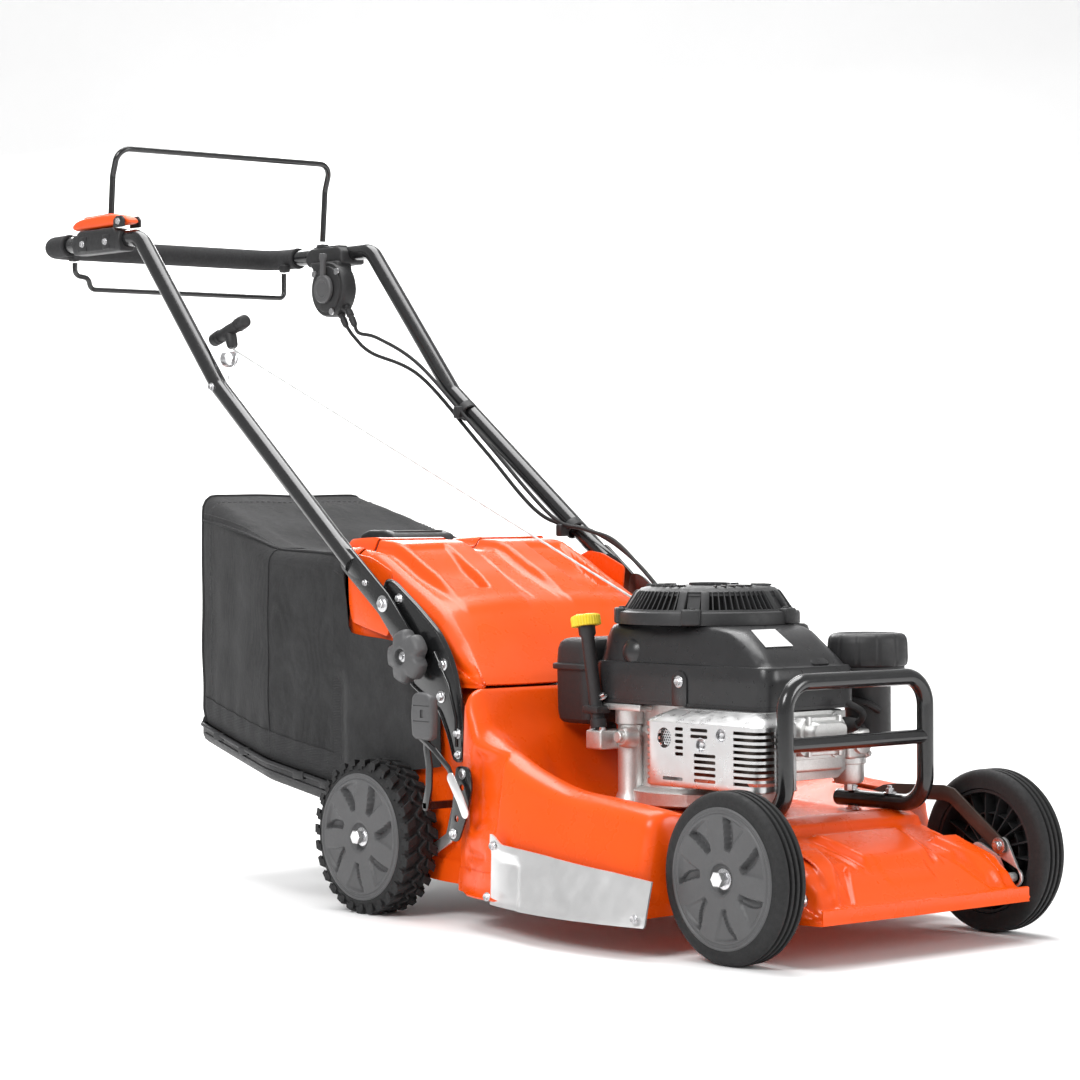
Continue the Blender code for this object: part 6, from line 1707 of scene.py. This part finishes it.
def build_cables():
    """The two cables, run with both ends on the mower."""
    for name, points in cable_routes().items():
        route = spline(points, 10)
        item = piece(name + "_line", tube(route, 0.0028, 14), "rubber", None, sharp=60)
        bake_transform(item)
        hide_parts(name + "_cable")
    clips = []
    for y in (0.075, 0.308):
        centre = Vector((0.208 if y > 0.2 else 0.215, y, 0.456 + (y - 0.014) * 0.7472))
        along = Vector((0, 0.801, 0.5985))
        clips.append(lathe([(0.0128, -0.007), (0.0148, -0.0062), (0.0152, 0.0), (0.0148, 0.0062),
                            (0.0128, 0.007)], centre, along, 32))
        clips.append(box((0.185, y - 0.006, centre.z - 0.012), (0.202, y + 0.006, centre.z + 0.006), 0.003,
                         3))
    piece("cable_clips", merged(*clips), "black_plastic", "handle")


build_handlebar()
build_grip()
build_lever_mount()
build_lock_lever()
build_control()
build_bails()
build_knobs()
build_starter()
build_cables()


# ---------------------------------------------------------------- grass bag
BAG_TABLE = [  # y, half width, low edge, top
    (0.078, 0.192, 0.155, 0.4715), (0.15, 0.1938, 0.1665, 0.4722), (0.22, 0.195, 0.1775, 0.4735),
    (0.253, 0.1945, 0.183, 0.4755), (0.29, 0.189, 0.189, 0.485), (0.4, 0.165, 0.207, 0.524),
    (0.47, 0.149, 0.219, 0.546), (0.483, 0.145, 0.2215, 0.55),
]


def bag_outline(y, share=1.0):
    """Half-width arch of the cloth at y; share below 1 draws it in towards the foot of the rear panel."""
    half, low, high = along_table(BAG_TABLE, y)
    corner = 0.02
    side = [(-half + 0.004, low), (-half, low + 0.02), (-half, high - corner)]
    bend = [(-half + corner - corner * math.cos(t), high - corner + corner * math.sin(t))
            for t in [math.pi / 2 * k / 6 for k in range(1, 7)]]
    right = side + bend
    arch = right + [(0.0, high)] + [(-x, z) for x, z in reversed(right)]
    points = resampled([Vector((x, 0.0, z)) for x, z in arch], 96)
    return [Vector((p.x * share, y, low + (p.z - low) * share)) for p in points], low, high, half


def cloth_offset(x, y, z, low, high, half, u):
    """How far the cloth stands in or out from its straight shape: panels hollow and billow between seams."""
    up = (z - low) / (high - low)
    along = (y - 0.078) / 0.405
    panel = math.sin(math.pi * min(1.0, max(0.0, up)))
    length = math.sin(math.pi * min(1.0, max(0.0, along * 1.02)))
    if u < 0.36 or u > 0.64:
        side = -1 if u < 0.5 else 1
        puff = 0.004 * panel * length - 0.0026 * math.exp(-((y - 0.253) / 0.022) ** 2) * panel
        folds = 0.0011 * math.sin(78 * y + 7 * z + side) * panel
        folds += 0.0009 * math.sin(41 * y - 30 * z + 1.3 * side + 2.0 * math.sin(11 * z)) * panel
        creases = 0.001 * math.sin(150 * y + 25 * z) * math.exp(-((up - 0.12) / 0.12) ** 2)
        return puff + folds + creases
    across = math.cos(math.pi * x / (2 * half))
    sag = -0.0075 * across * length
    waves = 0.0011 * math.sin(60 * y + 9 * x) * across + 0.0008 * math.sin(38 * x - 45 * y) * across
    return sag + waves


def bag_rows():
    """Rows of points of the bag cloth from one side over the top to the other."""
    rows = []
    ys = [0.078 + 0.405 * k / 54 for k in range(55)]
    for y in ys:
        points, low, high, half = bag_outline(y)
        count = len(points)
        row = []
        for i, p in enumerate(points):
            u = i / (count - 1)
            before, after = points[max(i - 1, 0)], points[min(i + 1, count - 1)]
            out = (after - before).cross(Vector((0, 1, 0))).normalized()
            if out.dot(Vector((p.x, 0, p.z - (low + high) / 2))) < 0:
                out = -out
            fade = smooth_step(u, 0.0, 0.03) * (1 - smooth_step(u, 0.97, 1.0)) * smooth_step(y, 0.078, 0.1)
            row.append(p + out * cloth_offset(p.x, y, p.z, low, high, half, u) * fade)
        rows.append(row)
    edge = rows[-1]
    low = along_table(BAG_TABLE, 0.483)[1]
    for share, push in ((0.985, 0.002), (0.95, 0.0026), (0.88, 0.004), (0.78, 0.006), (0.66, 0.008),
                        (0.52, 0.0092), (0.38, 0.0095), (0.24, 0.009), (0.12, 0.0085), (0.02, 0.008)):
        row = []
        for p in edge:
            ripple = 0.001 * math.sin(55 * p.x + 30 * p.z) * (1 - share)
            row.append(Vector((p.x * share, 0.483 + push * 0.75 + ripple, low + (p.z - low) * share)))
        rows.append(row)
    return rows


def edge_line(rows, u, lift):
    """A line along the cloth at share u of each arch, stood off by lift."""
    line = []
    for row in rows:
        i = int(round(u * (len(row) - 1)))
        p = row[i]
        centre = Vector((0.0, p.y, 0.33))
        line.append(p + (p - centre).normalized() * lift)
    return line


def build_cloth():
    """Main cloth of the bag with hems, piping and stitches."""
    rows = bag_rows()
    cloth = shell(rows, thickened(rows, 0.0018))
    bag = piece("bag_cloth", cloth, "fabric", "collector", ["bag_fabric"], sharp=70)
    arches = rows[:55]
    count = len(arches[0])
    corner = next(i for i, p in enumerate(arches[0]) if p.x > -0.192 + 0.006 and p.z > 0.46) / (count - 1)
    piping = []
    for u in (corner, 1 - corner):
        line = edge_line(arches, u, 0.0006)
        piping.append(tube([line[k] for k in range(0, len(line), 2)], 0.0022, 12))
    rear = [p + Vector((0, 0.0008, 0)) + (p - Vector((0, p.y, 0.33))).normalized() * 0.0004
            for p in rows[54]]
    piping.append(tube(rear, 0.0023, 12))
    joint = [p + (p - Vector((0, p.y, 0.33))).normalized() * 0.0005
             for p in rows[int(round(0.175 / 0.405 * 54))]]
    piping.append(tube(joint, 0.0014, 10))
    piece("bag_piping", merged(*piping), "webbing", "collector", sharp=60)
    hems = []
    mouth = []
    for k in (0, 1, 2, 3):
        mouth.append([p + (p - Vector((0, p.y, 0.33))).normalized() * (0.0016 if 0 < k < 3 else 0.001)
                      for p in rows[k]])
    hems.append(shell(mouth, thickened(mouth, 0.0022)))
    for flip in (False, True):
        foot = []
        for j in range(5):
            i = count - 1 - j if flip else j
            foot.append([row[i] + Vector(((1 if flip else -1) * 0.0014, 0, -0.0006))
                         for row in arches[1:54]])
        if not flip:
            foot.reverse()
        hems.append(shell(foot, thickened(foot, 0.0024)))
    piece("bag_hems", merged(*hems), "webbing", "collector", sharp=60)
    stitches = []
    for u in (corner + 0.012, 1 - corner - 0.012):
        line = edge_line(arches, u, 0.0004)
        for a, b in zip(line[1:], line[2:]):
            stitches.append(rod(a.lerp(b, 0.15), a.lerp(b, 0.65), 0.0005, 6))
    near = rows[50]
    for i in range(2, count - 3):
        stitches.append(rod(near[i].lerp(near[i + 1],
                                         0.1)
                            + (near[i] - Vector((0, near[i].y, 0.33))).normalized() * 0.0004,
                            near[i].lerp(near[i + 1],
                                         0.6)
                            + (near[i] - Vector((0, near[i].y, 0.33))).normalized() * 0.0004, 0.0005, 6))
    piece("bag_stitches", merged(*stitches), "thread", "collector", sharp=60)


def build_side_cloth():
    """Cloth wings of the bag that lie along the sides of the chute, below the flap's cheeks."""
    def edges(y):
        top = along_table([(-0.15, 0.262), (-0.118, 0.292), (-0.08, 0.338), (-0.064, 0.354), (0.036, 0.364),
                           (0.0465, 0.372), (0.056, 0.436), (0.07, 0.444), (0.08, 0.448)], y)[0]
        low = along_table([(-0.15, 0.196), (-0.06, 0.184), (0.08, 0.16)], y)[0]
        return low, top
    for name, side in SIDES:
        rows = []
        for y in [-0.15 + 0.232 * k / 46 for k in range(47)]:
            low, top = edges(y)
            row = []
            for i in range(41):
                up = i / 40
                z = low + (top - low) * up
                ripple = 0.0004 * math.sin(62 * y + 10 * z) + 0.0003 * math.sin(90 * z - 30 * y)
                close = smooth_step(y, 0.046, 0.082) * (1 - smooth_step(z, 0.29, 0.322))
                row.append(Vector((side * (0.2093 + ripple - 0.014 * close), y, z)))
            rows.append(row if side < 0 else row[::-1])
        wing = piece("bag_wing_" + name, shell(rows, thickened(rows, 0.0012)), "fabric", "collector",
                     sharp=70)


TRAY_TABLE = [(0.078, 0.195, 0.124, 0.154), (0.24, 0.199, 0.151, 0.18), (0.253, 0.1985, 0.153, 0.182),
              (0.27, 0.1955, 0.1558, 0.1848), (0.4, 0.168, 0.178, 0.206), (0.486, 0.148, 0.192, 0.2205)]


def build_tray():
    """Plastic tray at the lower edge of the bag."""
    rows = []
    for y in [0.078 + 0.404 * k / 48 for k in range(49)]:
        half, low, high = along_table(TRAY_TABLE, y)
        rows.append((y, half, low, high))
    half, low, high = along_table(TRAY_TABLE, 0.486)
    rows += [(0.4845, half - 0.0005, low + 0.002, high), (0.4858, half - 0.0015, low + 0.006, high),
             (0.4862, half - 0.0025, low + 0.012, high), (0.4865, half - 0.003, low + 0.02, high),
             (0.4868, half - 0.003, high - 0.004, high + 0.0)]
    surface = []
    for k, (y, half, low, high) in enumerate(rows):
        deep = 0.0018 * (0.5 + 0.5 * math.cos(2 * math.pi * (y - 0.078) / 0.045)) * window(y, 0.1, 0.47,
                0.01)
        outline = [(-half, high), (-half, low + 0.012), (-half + 0.003, low + 0.005), (-half + 0.01, low),
                   (-half * 0.62, low + 0.0), (-half * 0.6, low + deep), (half * 0.6, low + deep),
                   (half * 0.62, low + 0.0), (half - 0.01, low), (half - 0.003, low + 0.005),
                   (half, low + 0.012), (half, high)]
        surface.append([Vector((x, y, z)) for x, z in outline])
    surface = [row[::-1] for row in surface]
    body = shell(surface, thickened(surface, 0.0026))
    rim = []
    for side in (-1, 1):
        path = [Vector((side * (row[1] + 0.0012), row[0], row[3] - 0.002)) for row in rows[:50:2]]
        rim.append(tube(path, 0.003, 14))
        lower = [Vector((side * (row[1] + 0.0004), row[0], row[2] + 0.0155)) for row in rows[1:48:2]]
        rim.append(tube(lower, 0.0014, 10))
    rear = [Vector((x * 0.147, 0.4872, 0.219)) for x in [-1 + k / 8 for k in range(17)]]
    rim.append(tube(rear, 0.0028, 14))
    for side in (-1, 1):
        for y in (0.115, 0.175, 0.325, 0.415):
            half, low, high = along_table(TRAY_TABLE, y)
            clip = box((-0.003, -0.012, -0.006), (0.003, 0.012, 0.005), 0.0014, 2)
            rim.append(shift(clip, (side * (half + 0.0018), y, high - 0.004)))
    piece("collector_tray", merged(body, *rim), "black_plastic", "collector", ["bag_tray"], sharp=35)


def build_bag_frame():
    """Wire frame at the mouth of the bag."""
    y = 0.0725
    loop = [(0.0, y, 0.19), (-0.18, y, 0.19), (-0.18, y, 0.458), (0.18, y, 0.458), (0.18, y, 0.19),
            (0.0, y, 0.19)]
    piece("mouth_wire", tube(rounded_path(loop, 0.02, 8), 0.004, 16), "gloss_paint", "collector",
          ["bag_frame"], sharp=50)


def build_bag_handle():
    """Carrying handle on the top of the bag."""
    outline = [(0.14, 0.476), (0.143, 0.486), (0.15, 0.495), (0.172, 0.5005), (0.205, 0.5005),
               (0.222, 0.4955), (0.229, 0.487), (0.232, 0.476)]
    grip = slab(outline, -0.055, 0.055, "yz", 0.0045, 4)
    grip = carve(grip, box((-0.04, 0.1, 0.465), (0.04, 0.26, 0.489), 0.005, 3),
                 box((-0.044, 0.156, 0.4975), (0.044, 0.215, 0.51), 0.002, 2))
    base = [box((x - 0.013, 0.132, 0.4725), (x + 0.013, 0.24, 0.4785), 0.002, 2) for x in (-0.048, 0.048)]
    ribs = [box((-0.042, 0.16 + 0.012 * k, 0.4965), (0.042, 0.164 + 0.012 * k, 0.4995), 0.001, 2)
            for k in range(5)]
    piece("collector_grip", merged(grip, *base, *ribs), "black_plastic", "collector", ["bag_handle"],
          sharp=35)
    rivets = [lathe([(0.0, 0.0), (0.0042, 0.0), (0.0036, 0.0018), (0.0, 0.0022)], (x, y, 0.4783), sides=20,
                    closed=False) for x in (-0.053, 0.053) for y in (0.1365, 0.2355)]
    piece("grip_rivets", merged(*rivets), "zinc", "collector")


build_cloth()
build_side_cloth()
build_tray()
build_bag_frame()
build_bag_handle()


# ---------------------------------------------------------------- frame pieces that keep their own shape
KEPT_FINISH = {"cast_aluminium": ("flywheel", "engine_block"),
               "zinc": ("crankshaft", "blade_hub", "bag_frame"),
               "dark_steel": ("blade", "front_crank", "rear_axle", "link_bar"),
               "grey_plastic": ("gearbox_pulley", "recoil_pulley"),
               "black_paint": ("rear_baffle", "height_quadrant", "handle_plate_right", "handle_plate_left"),
               "rubber": ("drive_belt", "throttle_cable", "brake_cable"), "rope": ("starter_rope",),
               "orange_paint": ("discharge_flap",), "fabric": ("bag_fabric",),}


def dress_frame():
    """Finishes for the CAD pieces that keep their own shape."""
    finish_of = {node: finish for finish, nodes in KEPT_FINISH.items() for node in nodes}
    for name, node in NODES.items():
        if node.hide_render:
            continue
        finish = FINISH[finish_of.get(name, "black_plastic")]
        if not node.data.materials:
            node.data.materials.append(finish)
        for place in node.material_slots:
            place.material = finish


dress_frame()


# ---------------------------------------------------------------- floor, light and camera
CAMERA_PLACE = Vector((-2.7844, -3.4029, 0.5339))
CAMERA_YAW, CAMERA_PITCH, CAMERA_ROLL = 40.1711, -0.6169, -0.2932
CAMERA_LENS = 106.8187


def build_floor():
    """Studio floor that runs up into the wall behind."""
    size, bend, wall = 9.0, 3.0, 6.0
    rows = []
    for t in [i / 24 for i in range(25)]:
        angle = t * math.pi / 2
        rows.append((bend * math.sin(angle), bend - bend * math.cos(angle)))
    profile = [(-size, 0.0)] + rows + [(bend, wall)]
    yaw = math.radians(CAMERA_YAW)
    ahead, across = Vector((math.sin(yaw), math.cos(yaw), 0)), Vector((math.cos(yaw), -math.sin(yaw), 0))
    sections = [[ahead * (d + 2.5) + across * w + Vector((0, 0, h)) for w in (-9.0, 9.0)]
                for d, h in profile]
    mesh_data = skin(sections, closed=False, caps=False)
    mesh = bpy.data.meshes.new("floor")
    mesh_data.to_mesh(mesh)
    mesh_data.free()
    mesh.shade_smooth()
    floor_finish = Finish("floor", (0.93, 0.93, 0.93), 0.01, 3.0, (0.8, 0.9))
    mesh.materials.append(floor_finish.material)
    floor = bpy.data.objects.new("floor", mesh)
    bpy.context.scene.collection.objects.link(floor)


def add_light(name, place, aim, size, power):
    """An area light aimed at a point."""
    data = bpy.data.lights.new(name, "AREA")
    data.shape = "RECTANGLE"
    data.size, data.size_y = size
    data.energy = power
    lamp = bpy.data.objects.new(name, data)
    lamp.location = place
    lamp.rotation_mode = "QUATERNION"
    lamp.rotation_quaternion = (Vector(aim) - Vector(place)).to_track_quat("-Z", "Y")
    bpy.context.scene.collection.objects.link(lamp)


def build_stage():
    """World light and lamps."""
    build_floor()
    world = bpy.data.worlds.new("studio")
    world.use_nodes = True
    background = world.node_tree.nodes["Background"]
    background.inputs["Color"].default_value = (1.0, 1.0, 1.0, 1.0)
    background.inputs["Strength"].default_value = 0.5
    bpy.context.scene.world = world
    add_light("key", (-3.4, -1.2, 2.9), (0, -0.2, 0.3), (1.6, 1.6), 105)
    add_light("fill_front", (1.6, -4.2, 1.6), (0, -0.3, 0.3), (1.4, 1.6), 55)
    add_light("top", (0.4, 0.8, 4.2), (0, 0, 0.3), (3.0, 3.0), 190)
    add_light("rear", (2.2, 4.2, 2.6), (0, 0.9, 0.4), (2.6, 2.0), 120)
    bpy.context.scene.view_settings.view_transform = "Standard"
    bpy.context.scene.view_settings.look = "None"


def build_camera():
    """Camera of the photograph."""
    yaw, pitch, roll = (math.radians(a) for a in (CAMERA_YAW, CAMERA_PITCH, CAMERA_ROLL))
    ahead = Vector((math.sin(yaw) * math.cos(pitch), math.cos(yaw) * math.cos(pitch), math.sin(pitch)))
    right = ahead.cross(Vector((0, 0, 1))).normalized()
    up = right.cross(ahead)
    across = math.cos(roll) * right + math.sin(roll) * up
    upward = -math.sin(roll) * right + math.cos(roll) * up
    data = bpy.data.cameras.new("camera")
    data.sensor_width = 36.0
    data.lens = CAMERA_LENS
    data.clip_start, data.clip_end = 0.1, 100.0
    camera = bpy.data.objects.new("camera", data)
    axes = Matrix((across, upward, -ahead)).transposed().to_4x4()
    camera.matrix_world = Matrix.Translation(CAMERA_PLACE) @ axes
    bpy.context.scene.collection.objects.link(camera)
    bpy.context.scene.camera = camera


build_stage()
build_camera()
